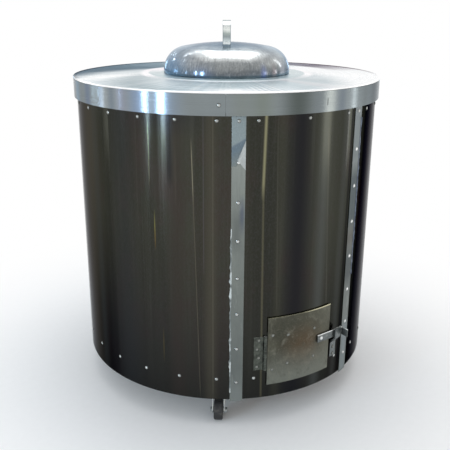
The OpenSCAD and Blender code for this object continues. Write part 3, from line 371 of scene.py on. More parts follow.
def top_plate_finish(colours):
    """Top plate turned on its axis: fine rings, cloudy tone and teal grey inside the mouth ring. Its fans,
    radial streaks, white zones, white rim line, mouth-ring crescents and tinted back arcs are painted
    reflections; dark lines at the far rim and the flange below the band are painted shade.
    """
    made = Finish("plate_steel", colours.top, 1, 0.26)
    reach = made.reach()
    ring_place = made.point(made.times(reach, 620), made.times(made.x, 2), made.times(made.y, 2))
    rings = made.noise(ring_place, 1, 3)
    broad = made.grain(4, 3)
    around = made.outward()
    fan = made.noise(around, 24, 3)
    ragged = made.noise(around, 9, 3)
    made.tones(made.level(broad), (0, 172, 188, 195), (0.5, 186, 200, 205), (1, 201, 212, 216))
    az = made.azimuth()
    turn = made.calc("WRAP", az, 360, 0)
    wobble = made.ramp(ragged, 0.2, 0.8, -4, 4)
    wavy = made.calc("ADD", az, wobble)
    inward = made.calc("SUBTRACT", PLATE_R, reach)
    swept = made.calc("MULTIPLY_ADD", inward, 260, wavy)
    swept_turn = made.calc("MULTIPLY_ADD", inward, 260, made.calc("ADD", turn, wobble))
    # Painted reflections: a white fan on the left, a dark wedge and tinted patches round the plate.
    fading = made.calc("MULTIPLY_ADD", inward, 75, wavy)
    made.bands(fading, (-93, 16, 0.9, 255, 255, 255))
    made.bands(swept, (-53, 24, 1, 138, 160, 168))
    made.bands(wavy, (-24, 14, 0.2, 160, 180, 186), (12, 7, 0.3, 238, 222, 222),
               (26, 14, 0.7, 164, 180, 186), (140, 22, 0.4, 176, 190, 198))
    # Painted highlight: white over the right side and near the front edge.
    bright = made.times(made.ramp(made.calc("MULTIPLY_ADD", inward, -340, az), -8, 18),
                        made.fall(az, 100, 126))
    front_edge = made.times(made.mark(az, -25, 16), made.fall(inward, 0.03, 0.08))
    bright = made.calc("MAXIMUM", bright, front_edge)
    made.cover(bright, 255, 255, 255)
    behind = made.ramp(turn, 140, 178)
    # Painted reflection: a dark bluish arc at the back left, fading out behind.
    arc = made.times(made.fall(swept_turn, 248, 268), made.ramp(turn, 360, 300), behind,
                     made.ramp(reach, 0.224, 0.236))
    dark_reflection = made.blend(made.ramp(made.noise(around, 13, 3), 0.4, 0.62), (84, 100, 112), (128, 150, 164))
    made.tone = made.mix(made.times(arc, made.ramp(turn, 182, 220, 0, 0.6)), made.tone, dark_reflection)
    # Painted reflection: a purplish arc at the back right.
    right_arc = made.times(made.ramp(az, 76, 104), made.fall(inward, 0.075, 0.1))
    made.cover(made.times(right_arc, made.ramp(az, 104, 140, 0.5, 0)), 132, 122, 134)
    right_arc = made.times(right_arc, made.fall(az, 130, 172))
    # The painted arcs also get a darker, tinted edge reflection.
    edge_tint = made.mix(arc, (1, 1, 1), (0.2, 0.28, 0.35))
    made.set("Specular Tint", made.mix(right_arc, edge_tint, (0.16, 0.12, 0.18)))
    # Painted glints: radial white lines at the front.
    glint = made.times(made.ramp(made.calc("SINE", made.times(az, 3)), 0.1, 0.9),
                       made.mark(az, -13, 13), made.ramp(reach, 0.25, 0.33))
    made.cover(glint, 255, 255, 255)
    made.stain(rings, 0.35, 0.7, 0.16, 176, 190, 198)
    # Radial streaks, light and dark: painted reflections.
    made.stain(fan, 0.5, 0.75, 0.5, 246, 248, 248)
    made.stain(fan, 0.5, 0.3, 0.3, 176, 192, 202)
    made.cover(made.ramp(reach, 0.2, 0.206, 0.7, 0), 178, 198, 202)
    # Painted highlight: bright crescents on the mouth ring's step at the sides.
    step = made.times(made.ramp(reach, 0.198, 0.202), made.fall(reach, 0.214, 0.224))
    sides = made.calc("MAXIMUM", made.mark(az, -116, 40), made.mark(az, 72, 44))
    made.cover(made.times(step, made.ramp(sides, 0, 0.6, 0.25, 0.95)), 252, 248, 250)
    # Painted reflection: a white fan on the mouth ring at the back left.
    slope = made.times(made.ramp(reach, 0.165, 0.175), made.fall(reach, 0.222, 0.234),
                       made.mark(az, -142, 34))
    made.cover(slope, 255, 248, 252)
    # Painted highlight: a white line along the front of the rim.
    rim = made.times(made.ramp(reach, PLATE_R - 0.0075, PLATE_R - 0.005),
                     made.ramp(made.z, BAND_TOP_Z - 0.0006, BAND_TOP_Z + 0.0004))
    from_front = made.calc("ABSOLUTE", made.calc("ADD", az, 28))
    near = made.fall(from_front, 84, 98)
    made.cover(made.times(rim, near), 255, 255, 255)
    # Painted shade: a dark purplish line along the far rim on the right.
    back_rim = made.ramp(reach, PLATE_R - 0.012, PLATE_R - 0.006)
    made.cover(made.times(back_rim, made.ramp(az, 56, 90), made.fall(az, 130, 172)), 84, 60, 76)
    # Painted shade on the flange below the band's top, seen through the seam gap.
    made.stain(made.z, BAND_TOP_Z - 0.001, BAND_TOP_Z - 0.002, 1, 120, 128, 128)
    # Painted shade: a dark line along the far rim at the back.
    made.cover(made.times(back_rim, behind, made.ramp(turn, 270, 250)), 58, 74, 84)
    made.brush_round(0.8)
    return made.done(made.bump(rings, 0.05, 0.0003, made.bump(broad, 0.2, 0.006)),
                     made.level(rings, 0.24, 0.36))


def lid_finish(colours):
    """Spun and polished dome: hair lines and spin rings, with painted reflections: a darker, bluish wall, a
    bright shoulder, a darker crown and coloured patches round it.
    """
    made = Finish("lid_steel", colours.lid, 1, 0.16, specular_tint=(0.66, 0.74, 0.82, 1))
    reach = made.reach()
    height = made.ramp(made.z, *LID_Z)
    ring_place = made.point(made.times(reach, 260), made.times(made.z, 260), made.times(made.x, 3))
    rings = made.noise(ring_place, 1, 3)
    cloud = made.grain(16, 5, 0.65)
    specks = made.grain((420, 420, 160), 3, 0.7)
    drift = made.calc("ADD", height, made.ramp(cloud, 0.2, 0.8, -0.08, 0.08))
    # Painted reflections by height: dark bluish wall, bright shoulder, darker crown.
    made.tones(drift, (0, 116, 128, 138), (0.14, 96, 104, 110), (0.34, 150, 154, 154),
               (0.55, 200, 202, 200), (0.83, 228, 232, 232), (0.92, 144, 158, 168), (1, 86, 112, 134))
    az = made.azimuth()
    # Painted reflections: bluish, pinkish, light and dark patches round the lid.
    made.marks(az, (-88, 40, 0, 0.85, 0, 0.8, 106, 142, 176), (-50, 16, 0, 0.822, 0, 0.5, 96, 124, 168),
               (-14, 22, 0, 0.822, 0, 0.45, 88, 90, 92), (5.7, 5, 0, 0.815, 0, 0.9, 120, 138, 196),
               (18, 5, 0, 0.815, 0, 0.6, 180, 160, 160), (32, 9, 0, 0.83, 0, 0.6, 190, 192, 200),
               (54, 16, 0, 0.85, 0, 0.85, 120, 152, 186), (-82, 24, 0.846, 0.9, 0, 0.5, 120, 130, 142),
               (22, 20, 0.846, 0.9, 0, 0.5, 118, 122, 130))
    around = made.outward()
    lift = made.point(0, 0, made.times(made.z, 70))
    hair = made.noise(made.vector("MULTIPLY_ADD", around, (48, 48, 0), lift), 1, 3, 0.7)
    made.stain(hair, 0.5, 0.72, 0.4, 80, 82, 84)
    made.stain(hair, 0.45, 0.28, 0.3, 234, 236, 236)
    made.stain(specks, 0.5, 0.75, 0.35, 78, 80, 82)
    made.stain(specks, 0.45, 0.25, 0.3, 226, 230, 232)
    made.stain(rings, 0.4, 0.75, 0.2, 128, 132, 138)
    soft = made.ramp(height, 0.25, 0.8, 0, 0.09)
    made.brush_round(0.55)
    return made.done(made.bump(specks, 0.04, 0.0004, made.bump(cloud, 0.08, 0.003)),
                     made.calc("ADD", soft, made.level(specks, 0.11, 0.19)))


def handle_finish(colours):
    """Polished strap with lengthwise rub marks, painted light by height: bright upper part and foot, darker
    low on the legs, and painted shade on its top and along its edges.
    """
    made = Finish("handle_steel", colours.handle, 1, 0.22)
    cloud = made.grain(30, 4)
    grain = made.grain((900, 900, 60), 2)
    height = made.ramp(made.z, *HANDLE_Z)
    drift = made.calc("ADD", height, made.level(cloud, -0.04, 0.04))
    # Painted light and shade by height.
    made.tones(drift, (0, 224, 232, 234), (0.14, 196, 206, 208), (0.3, 148, 158, 160),
               (0.46, 168, 178, 174), (0.62, 232, 236, 232), (0.9, 246, 248, 244), (1, 206, 216, 216))
    made.stain(grain, 0.45, 0.8, 0.35, 150, 160, 164)
    turn = math.radians(HANDLE_AZ)
    sideways = made.calc("ADD", made.times(made.x, math.cos(turn)), made.times(made.y, math.sin(turn)))
    # Painted highlight on the foot's upward faces.
    on_foot = made.times(made.upward(), made.fall(height, 0.2, 0.3))
    made.cover(on_foot, 255, 255, 255)
    # Painted shade along the top.
    made.stain(height, 0.965, 0.985, 0.9, 130, 148, 150)
    # Painted shade along the side edges.
    edges = made.ramp(made.calc("ABSOLUTE", sideways), 0.0076, 0.0098, 0, 0.85)
    made.cover(edges, 112, 128, 136)
    dulled = made.times(on_foot, 0.35)
    return made.done(made.bump(grain, 0.08, 0.0004), made.calc("ADD", dulled, made.level(cloud, 0.16, 0.3)))


def rivet_finish(colours, name="rivet_metal", shade_share=0, dirt_and_shade=0.9, tones=((178, 182, 180), (214, 217, 216))):
    """Bright aluminium rivet heads with tarnish and peening marks. Painted shade darkens the upper rows, the
    lowest row and, by a given share, all the rest; round their feet the heads darken, partly dirtied and
    partly by painted shade.
    """
    made = Finish(name, colours.rivet, 1, 0.2)
    tarnish = made.grain(240, 3)
    batch = made.grain(22, 1)
    made.tone = made.blend(made.level(batch), tones[0], tones[1])
    # Painted shade: the upper rows, the lowest row and, by a share, the rest are darker.
    upper = made.times(made.ramp(made.z, 0.66, 0.73), made.fall(made.z, 0.745, 0.755))
    painted_shade = made.calc("MAXIMUM", made.times(upper, 0.45), made.ramp(made.z, 0.13, 0.1, shade_share, 0.6))
    made.cover(painted_shade, 104, 106, 98)
    made.stain(tarnish, 0.5, 0.8, 0.5, 120, 122, 116)
    # Round each foot, where the head turns away from the axis: dirtied and darkened by painted shade.
    out = made.outward()
    normal = made.node("TexCoord").outputs["Normal"]
    facing = made.measure("DOT_PRODUCT", out, normal)
    foot = made.times(made.ramp(facing, 0.74, 0.93, dirt_and_shade, 0), made.fall(made.z, 0.8, 0.82))
    made.cover(foot, 48, 52, 52)
    return made.done(made.bump(tarnish, 0.1, 0.0005), made.ramp(tarnish, 0.3, 0.8, 0.18, 0.4))


def door_finish(colours):
    """Dull door plate: brown heat tint over its middle, swirl scratches, lighter towards the bottom and
    towards +X, and painted highlights on its upward faces and along the top edge.
    """
    made = Finish("door_steel", colours.door, 0.85, 0.46)
    middle = made.vector("SUBTRACT", made.place, (0.01, -0.38, DOOR_MIDDLE_Z - 0.005))
    far = made.measure("LENGTH", middle)
    cloud = made.grain(13, 5, 0.65)
    mottle = made.grain(45, 4, 0.6)
    swirl = made.grain(60, 2, 0.5, 2.5, shift=(0.7, 0.2, 0.1))
    scratch = made.fall(made.gap(swirl, 0.5), 0, 0.012)
    made.tones(made.level(cloud), (0, 60, 61, 53), (0.5, 74, 74, 64), (1, 92, 92, 80))
    heat = made.times(made.ramp(far, 0.015, 0.085, 0.75, 0, "SMOOTHSTEP"), made.level(mottle, 0.4, 1))
    made.cover(heat, 94, 74, 52)
    made.stain(made.z, 0.2, 0.12, 0.8, 122, 126, 118)
    made.stain(made.x, 0.03, 0.08, 0.4, 118, 118, 106)
    made.stain(mottle, 0.55, 0.75, 0.5, 136, 136, 124)
    made.stain(mottle, 0.45, 0.3, 0.4, 70, 68, 58)
    made.cover(made.times(scratch, 0.35), 160, 156, 142)
    # Painted highlight on upward faces.
    made.cover(made.upward(), 226, 222, 186)
    # Painted highlight along the top edge, stronger towards +X.
    top_edge_highlight = made.times(made.ramp(made.z, DOOR_TOP_Z - 0.0024, DOOR_TOP_Z - 0.0012),
                        made.ramp(made.x, 0, 0.04, 0.05, 1))
    made.cover(top_edge_highlight, 226, 220, 188)
    dents = made.bump(made.grain(14, 1, shift=(0.2, 0.5, 0)), 0.3, 0.006)
    return made.done(made.bump(scratch, 0.1, 0.0003, made.bump(mottle, 0.12, 0.001, dents)),
                     made.ramp(made.calc("ADD", cloud, mottle), 0.7, 1.3, 0.38, 0.56))


def fitting_finish(colours, name="fitting_steel", darker_share=0, highlight_top_z=None):
    """Galvanised steel: spangle in flat cells and white bloom, darkened by a given share, with painted
    highlights on upward faces and along a given top edge.
    """
    made = Finish(name, colours.fitting, 0.9, 0.38)
    spangle = made.cells(260, "Color")
    lightness = made.node("RGBToBW", {0: spangle}).outputs[0]
    bloom = made.grain(90, 4, 0.6)
    made.tones(lightness, (0, 104, 109, 110), (0.5, 116, 121, 122), (1, 130, 135, 134))
    made.stain(bloom, 0.55, 0.75, 0.5, 166, 170, 164)
    made.stain(bloom, 0.42, 0.3, 0.6, 66, 66, 60)
    made.tone = made.mix(darker_share, made.tone, made.blend(made.ramp(bloom, 0.35, 0.65), (44, 47, 38),
                                                      (86, 91, 80)))
    # Painted highlight along the top edge.
    if highlight_top_z is not None:
        made.stain(made.z, highlight_top_z - 0.0026, highlight_top_z - 0.0014, 1, 250, 251, 250)
    # Painted highlight on upward faces.
    made.cover(made.upward(), 236, 238, 232)
    return made.done(made.bump(bloom, 0.15, 0.0006), made.ramp(lightness, 0.1, 0.9, 0.3, 0.46))


def frame_finish(colours):
    """Plain mill steel inside the drum: scale, smoke and a few rust blooms."""
    made = Finish("frame_steel", colours.inner, 0.8, 0.5)
    scale = made.grain(18, 5, 0.6)
    rust = made.grain(34, 5, 0.7, shift=(0.5, 0, 0.2))
    made.tone = made.blend(made.level(scale), (112, 110, 106), (150, 150, 146))
    made.stain(rust, 0.6, 0.72, 0.8, 120, 80, 52)
    return made.done(made.bump(rust, 0.2, 0.001), made.ramp(rust, 0.4, 0.7, 0.42, 0.75))


def clay_finish(colours):
    """Fired clay: hand-smeared rings, chaff specks, soot that thickens towards the mouth."""
    made = Finish("clay", colours.clay, 0, 0.85)
    smear = made.grain((6, 6, 46), 4)
    grit = made.grain(170, 4, 0.7)
    soot = made.grain((8, 8, 4), 5, 0.6)
    made.tones(made.level(smear), (0, 150, 104, 72), (0.5, 176, 128, 92), (1, 196, 152, 114))
    made.stain(grit, 0.55, 0.75, 0.5, 212, 180, 140)
    sooty = made.times(made.ramp(soot, 0.38, 0.65), made.ramp(made.z, 0.3, 0.78, 0.35, 0.9))
    made.cover(sooty, 58, 48, 42)
    return made.done(made.bump(grit, 0.35, 0.0015, made.bump(smear, 0.4, 0.004)))


def insulation_finish(colours):
    """Matted mineral wool: tangled fibres and shadowed pits."""
    made = Finish("insulation", colours.insulation, 0, 0.95)
    fibre = made.grain((120, 120, 320), 5, 0.75, 0.6)
    clump = made.grain(26, 3)
    made.tone = made.blend(made.ramp(fibre, 0.35, 0.7), (196, 186, 160), (232, 224, 204))
    made.stain(clump, 0.5, 0.3, 0.6, 150, 138, 114)
    return made.done(made.bump(fibre, 0.5, 0.002, made.bump(clump, 0.4, 0.006)))


def firebrick_finish(colours):
    """Cast refractory: sandy body with dark grog and pin holes."""
    made = Finish("firebrick", colours.firebrick, 0, 0.9)
    body = made.grain(20, 4)
    grog = made.cells(190)
    made.tone = made.blend(made.level(body), (196, 166, 126), (222, 196, 158))
    made.cover(made.ramp(grog, 0.1, 0.25, 0.6, 0), 122, 92, 66)
    return made.done(made.bump(grog, 0.3, 0.0015))


def grate_finish(colours):
    """Sand-cast iron with ash in its pits."""
    made = Finish("grate_iron", colours.grate, 0.6, 0.7)
    skin = made.grain(260, 4, 0.7)
    ash = made.grain(40, 4)
    made.tone = made.blend(made.level(skin), (58, 56, 54), (84, 80, 76))
    made.stain(ash, 0.52, 0.72, 0.7, 168, 164, 158)
    return made.done(made.bump(skin, 0.45, 0.0012))


def zinc_finish(colours):
    """Zinc-plated castor steel: cold sheen, faint yellow tinge, dust in the corners."""
    made = Finish("castor_zinc", colours.zinc, 1, 0.34)
    cloud = made.grain(60, 4)
    dust = made.grain(25, 5, 0.7)
    made.tones(made.level(cloud), (0, 150, 156, 158), (0.5, 172, 178, 180), (1, 190, 192, 184))
    made.stain(dust, 0.55, 0.75, 0.55, 112, 106, 96)
    return made.done(made.bump(cloud, 0.08, 0.0006), made.ramp(dust, 0.4, 0.75, 0.28, 0.55))


def hub_finish(colours):
    """Moulded grey plastic with fine spark texture and scuffs."""
    made = Finish("hub_plastic", colours.hub, 0, 0.5)
    spark = made.grain(800, 2)
    scuff = made.grain(70, 5, 0.7)
    made.tone = made.blend(made.ramp(scuff, 0.55, 0.75, 0, 0.6), (88, 90, 92), (130, 130, 128))
    return made.done(made.bump(spark, 0.15, 0.0003), made.ramp(scuff, 0.4, 0.7, 0.42, 0.66))


def tyre_finish(colours):
    """Black tread rubber with floor dust rubbed into it."""
    made = Finish("tyre_rubber", colours.tyre, 0, 0.72)
    grain = made.grain(500, 3)
    dust = made.grain((55, 55, 90), 5, 0.7)
    made.tone = made.blend(made.ramp(dust, 0.5, 0.75, 0, 0.6), (40, 40, 41), (98, 94, 88))
    return made.done(made.bump(grain, 0.25, 0.0005))


def film_finish(colours):
    """Torn protective film: milky, creased and glossy plastic, bluish grey below a fold, with painted shade
    along the fold and over the scraps on the right of the drum.
    """
    made = Finish("protective_film", colours.film, 0, 0.22)
    crease = made.grain((120, 120, 60), 4, 0.6, 0.8)
    patch = made.grain((40, 40, 30), 2)
    az = made.azimuth()
    made.tone = made.blend(made.level(crease), (94, 102, 104), (130, 138, 136))
    shown = made.ramp(patch, 0.5, 0.6, 0, 0.75)
    shown = made.calc("MAXIMUM", shown, made.mark(az, -26.8, 1, 0.398, 0.408))
    right = made.ramp(az, 0, 1)
    made.cover(shown, 214, 222, 222)
    # Painted shade: the scraps on the right side of the drum are darker.
    made.tone = made.mix(right, made.tone, made.blend(made.ramp(crease, 0.4, 0.7), (58, 70, 92),
                                                      (112, 126, 142)))
    fold = made.calc("SUBTRACT", made.z, made.calc("MULTIPLY_ADD", az, 0.0039, 0.784))
    below = made.blend(made.ramp(fold, -0.045, -0.012), (114, 122, 120), (94, 110, 120))
    stuck = made.mix(made.ramp(fold, -0.0025, 0.0015), below, shade(128, 140, 142))
    # Painted shade along the fold.
    stuck = made.mix(made.ramp(made.calc("ABSOLUTE", fold), 0, 0.004, 0.6, 0), stuck, shade(88, 102, 116))
    flap = made.ramp(made.reach(), STRAP_FACE_R + 0.0006, STRAP_FACE_R + 0.0009)
    stuck = made.mix(flap, stuck, made.blend(made.level(crease), (164, 168, 166), (184, 188, 186)))
    high = made.times(made.ramp(made.z, 0.628, 0.63), made.ramp(az, 1, 0))
    made.tone = made.mix(high, made.tone, stuck)
    return made.done(made.bump(crease, 0.5, 0.0012), made.level(crease, 0.16, 0.34))


# ---------------- surfaces

def grid_mesh(name, points, finish, close_rows=False):
    """Mesh of a grid of points (rows x columns x 3): a quad for each cell, and for the way back if closed."""
    rows, columns = points.shape[:2]
    starts = np.arange(rows if close_rows else rows - 1)
    row, column = np.meshgrid(starts, np.arange(columns - 1), indexing="ij")
    here, beyond = row * columns + column, (row + 1) % rows * columns + column
    corners = np.stack([here, here + 1, beyond + 1, beyond], -1)
    mesh = bpy.data.meshes.new(name)
    mesh.from_pydata(points.reshape(-1, 3).tolist(), [], corners.reshape(-1, 4).tolist())
    mesh.materials.append(finish)
    mesh.update()
    return mesh


def placed(name, data, matrix=None):
    """Object of a mesh, lamp or camera, at the origin unless a matrix is given."""
    item = bpy.data.objects.new(name, data)
    if matrix is not None:
        item.matrix_world = matrix
    bpy.context.scene.collection.objects.link(item)
    return item


def surface(name, points, body, finish, close_rows=False):
    """Smooth grid that rides on a body."""
    mesh = grid_mesh(name, points, finish, close_rows)
    mesh.polygons.foreach_set("use_smooth", np.ones(len(mesh.polygons), bool))
    mesh.validate()
    piece = placed(name, mesh)
    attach(piece, body)
    return piece


def on_drum(az, z, r):
    """Points at azimuth (degrees), height and distance from the drum's axis, as arrays."""
    angle = np.radians(az)
    return np.stack(np.broadcast_arrays(r * np.sin(angle), -r * np.cos(angle), z), -1)


def dome_profile(radius, height, shoulder_r, crown_r, inset, base_z, steps):
    """Profile of wall, shoulder arc and crown arc, tangent to each other, an inset inside the outer face."""
    across = radius - shoulder_r
    centre_drop = math.sqrt((crown_r - shoulder_r) ** 2 - across ** 2)
    wall_h = height - crown_r + centre_drop
    blend = math.acos(across / (crown_r - shoulder_r))
    low = np.linspace(0.0, blend, steps)
    high = np.linspace(blend, math.pi / 2, steps)[1:]
    r = np.concatenate([[radius - inset], across + (shoulder_r - inset) * np.cos(low),
                        (crown_r - inset) * np.cos(high)])
    z = np.concatenate([[0.0], wall_h + (shoulder_r - inset) * np.sin(low),
                        height - crown_r + (crown_r - inset) * np.sin(high)])
    r[-1] = 0.0
    return r, z + base_z


# ---------------- settings

def colour(name, description, *screen):
    return FloatVectorProperty(name=name, description=description, default=shade(*screen), subtype="COLOR",
                               size=3, min=0.0, max=1.0)


def length(name, description, default, low, high):
    return FloatProperty(name=name, description=description, default=default, min=low, max=high,
                         unit="LENGTH", precision=4)


class TandoorColours(bpy.types.PropertyGroup):
    """Base colours of the finishes, as the viewport shows them."""
    drum: colour("Drum", "Stained drum sheet", 58, 59, 52)
    strap: colour("Straps", "Dull seam straps", 136, 141, 137)
    band: colour("Rim band", "Brushed rim band", 150, 156, 157)
    top: colour("Top plate", "Circular-brushed top plate", 206, 214, 218)
    lid: colour("Lid", "Polished lid", 150, 156, 162)
    handle: colour("Handle", "Polished handle strap", 214, 220, 222)
    rivet: colour("Rivets", "Aluminium rivets", 226, 228, 226)
    door: colour("Door", "Dull ash door", 136, 133, 121)
    fitting: colour("Fittings", "Galvanised hinge, latch and keeper", 150, 156, 155)
    inner: colour("Inner steel", "Mill steel inside the drum", 130, 130, 126)
    clay: colour("Clay", "Fired clay pot", 176, 128, 92)
    insulation: colour("Insulation", "Mineral wool", 216, 206, 184)
    firebrick: colour("Hearth slab", "Cast refractory slab", 210, 182, 142)
    grate: colour("Grate", "Cast iron grate", 72, 70, 66)
    zinc: colour("Castor steel", "Zinc-plated castor steel", 172, 178, 180)
    hub: colour("Castor hubs", "Moulded plastic hubs", 90, 92, 94)
    tyre: colour("Castor tyres", "Rubber tyres", 42, 42, 43)
    film: colour("Film", "Torn protective film", 205, 214, 216)
    floor: colour("Floor", "Studio floor", 240, 240, 240)


class TandoorSizes(bpy.types.PropertyGroup):
    """Sizes of the surface pieces and of the studio."""
    lid_shoulder_r: length("Lid shoulder", "Radius of the lid's shoulder", 0.060, 0.045, 0.062)
    lid_crown_r: length("Lid crown", "Radius of the lid's crown", 0.600, 0.52, 0.70)
    lid_t: length("Lid sheet", "Thickness of the lid", 0.0012, 0.0008, 0.002)
    lid_steps: IntProperty(name="Lid steps", description="Rings in each arc of the lid", default=18,
                           min=8, max=40)
    film_t: length("Film lift", "Distance of the flat film over the strap", 0.0004, 0.0002, 0.001)
    floor_r: length("Floor radius", "Radius of the studio floor", 30.0, 5.0, 60.0)
    shadow_r: length("Shadow reach", "Distance at which the floor turns plain white", 1.15, 0.8, 4.0)


def paint(finish, *names):
    for name in names:
        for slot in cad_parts[name].material_slots:
            slot.material = finish


def each_castor(*parts):
    return ["castor_%d_%s" % (k, part) for part in parts for k in range(1, 5)]


# ---------------- operators

class Step:
    """Shared by the operators: each builds or finishes one group of pieces."""

    def execute(self, context):
        self.build(context.scene.tandoor_sizes, context.scene.tandoor_colours)
        return {"FINISHED"}


class TANDOOR_OT_drum(Step, bpy.types.Operator):
    """Finish the drum's sheets, its seam straps and all its rivets"""
    bl_idname = "tandoor.drum"
    bl_label = "Drum"

    def build(self, sizes, colours):
        paint(drum_sheet_finish(colours), "shell_wrap_sheet", "shell_door_sheet")
        paint(strap_finish(colours), "front_seam_strap", "side_seam_strap")
        paint(rivet_finish(colours), "front_strap_rivets", "top_row_rivets", "bottom_row_rivets",
              "rim_band_rivet", "lid_handle_rivets")
        # A lighter copy of the rivet finish: painted light for the side strap and latch pivot rivets.
        paint(rivet_finish(colours, "lit_rivets", 0.0, 0.5, ((232, 236, 234), (255, 255, 255))),
              "side_strap_rivets", "latch_pivot_rivet")


class TANDOOR_OT_film(Step, bpy.types.Operator):
    """Add the scraps of protective film left along the seam straps"""
    bl_idname = "tandoor.film"
    bl_label = "Film scraps"

    def build(self, sizes, colours):
        finish = film_finish(colours)
        strap_half = math.degrees(STRAP_W / 2 / DRUM_R)
        torn_edge("front_strap_film", FRONT_SEAM_AZ - strap_half, -1.0, 0.09, 0.50, 11, finish, sizes.film_t)
        torn_edge("side_strap_film", SIDE_SEAM_AZ + strap_half, 1.0, 0.33, 0.72, 5, finish, sizes.film_t)
        left, right = FRONT_SEAM_AZ - strap_half, FRONT_SEAM_AZ + strap_half
        film_sheet("strap_film_patch", ((0.0, 0.640, left, left + 1.6), (0.3, 0.664, left, right - 1.4),
                                        (0.55, 0.692, left, right), (1.0, 0.7475, left, right)),
                   0.0, finish, sizes.film_t)
        film_sheet("strap_film_flap", ((0.0, 0.632, right - 0.1, right), (0.36, 0.653, right - 2.6, right),
                                       (1.0, 0.694, right - 0.1, right)), 0.0012, finish, sizes.film_t * 2)


def film_sheet(name, outline, curl, finish, lift):
    """Scrap of film on the front strap, whose left and right azimuth change with v from its foot up.

    Across it u runs from left to right. Its distance over the strap is the lift plus the curl times
    (1 - u) squared times the sine of pi v, so its free left side stands off.
    """
    v = np.linspace(0.0, 1.0, 60)[:, None]
    u = np.linspace(0.0, 1.0, 16)[None, :]
    stops = np.array(outline)
    z, left, right = (np.interp(v, stops[:, 0], stops[:, k]) for k in (1, 2, 3))
    az = left + (right - left) * u
    r = STRAP_FACE_R + lift + curl * (1 - u) ** 2 * np.sin(np.pi * v)
    thicken(surface(name, on_drum(az, z, r), "drum", finish))


def torn_edge(name, edge_az, side, low_z, high_z, seed, finish, lift):
    """Ribbon along a strap's edge: its free side wanders by a sum of sines and sharp teeth, and curls out.

    Along the ribbon v goes from the low to the high end, across it u goes from inside the strap's edge to
    the free side. Past the edge the ribbon is a base width plus waves and teeth of v wide, times the sine
    of pi v to the power of 1/4, and the lift grows with u squared.
    """
    draw = np.random.default_rng(seed)
    v = np.linspace(0.0, 1.0, 220)
    u = np.linspace(0.0, 1.0, 7)
    wave = sum(draw.uniform(0.3, 1.0) * np.sin(2 * np.pi * (k * v + draw.uniform())) for k in (3, 7, 13, 23))
    teeth = np.interp(v, np.linspace(0, 1, 60), draw.uniform(0.0, 1.0, 60) ** 4)
    width = (0.0011 + 0.0005 * wave + 0.003 * teeth) * np.sin(np.pi * v) ** 0.25
    width = np.maximum(width, 0.0002)
    inside = 0.0016 + 0.001 * np.interp(v, np.linspace(0, 1, 40), draw.uniform(0, 1, 40))
    offset = -inside[:, None] + (inside + width)[:, None] * u[None, :]
    az = edge_az + side * np.degrees(offset / DRUM_R)
    curl = np.interp(v, np.linspace(0, 1, 30), draw.uniform(0.1, 1.0, 30))
    r = STRAP_FACE_R + lift + 0.0022 * curl[:, None] * u[None, :] ** 2
    points = on_drum(az, low_z + (high_z - low_z) * v[:, None], r)
    thicken(surface(name, points if side < 0 else points[:, ::-1], "drum", finish))


def thicken(piece):
    thick = piece.modifiers.new("thickness", "SOLIDIFY")
    thick.thickness = 0.0002
    thick.offset = 0.0


class TANDOOR_OT_top(Step, bpy.types.Operator):
    """Finish the rim band and the top plate"""
    bl_idname = "tandoor.top"
    bl_label = "Top"

    def build(self, sizes, colours):
        paint(band_finish(colours), "rim_band")
        paint(top_plate_finish(colours), "top_plate")


class TANDOOR_OT_lid(Step, bpy.types.Operator):
    """Make the smooth spun dome of the lid"""
    bl_idname = "tandoor.lid"
    bl_label = "Lid"

    def build(self, sizes, colours):
        low, high = LID_Z
        arcs = (LID_R, high - low, sizes.lid_shoulder_r, sizes.lid_crown_r)
        outer_r, outer_z = dome_profile(*arcs, 0.0, low, sizes.lid_steps)
        inner_r, inner_z = dome_profile(*arcs, sizes.lid_t, low, sizes.lid_steps)
        r = np.concatenate([inner_r[::-1], outer_r])
        z = np.concatenate([inner_z[::-1], outer_z])
        az = np.linspace(0.0, 360.0, 144, endpoint=False)
        # Surface of revolution: the profile runs from the inner pole over the rim to the outer pole
        points = on_drum(az[:, None], z[None, :], r[None, :])
        piece = surface("lid_spun_dome", points, "lid", lid_finish(colours), True)
        merge_poles(piece)
        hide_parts("lid_dome")


def merge_poles(piece):
    """Joins the points that fall on each other at a pole, so that the skin is closed."""
    skin = bmesh.new()
    skin.from_mesh(piece.data)
    bmesh.ops.remove_doubles(skin, verts=skin.verts, dist=1e-6)
    bmesh.ops.dissolve_degenerate(skin, edges=skin.edges, dist=1e-7)
    bmesh.ops.recalc_face_normals(skin, faces=skin.faces)
    skin.to_mesh(piece.data)
    skin.free()


class TANDOOR_OT_handle(Step, bpy.types.Operator):
    """Finish the lid's handle strap"""
    bl_idname = "tandoor.handle"
    bl_label = "Handle"

    def build(self, sizes, colours):
        paint(handle_finish(colours), "lid_handle")


class TANDOOR_OT_door(Step, bpy.types.Operator):
    """Finish the ash door, its hinge and its latch"""
    bl_idname = "tandoor.door"
    bl_label = "Ash door"

    def build(self, sizes, colours):
        paint(door_finish(colours), "door_plate")
        # A darker copy of the rivet finish: painted shade for the hinge, door plug and keeper rivets.
        paint(rivet_finish(colours, "shaded_rivets", 0.8), "hinge_door_leaf_rivets", "door_plug_rivets",
              "hinge_drum_leaf_rivets", "latch_keeper_rivets")
        paint(fitting_finish(colours), "latch_keeper", "latch_spacer")
        paint(fitting_finish(colours, "latch_steel", 0.15, LATCH_TOP_Z), "latch_bar")
        paint(fitting_finish(colours, "hinge_steel", 0.8), "hinge_drum_leaf", "hinge_door_leaf", "hinge_pin")


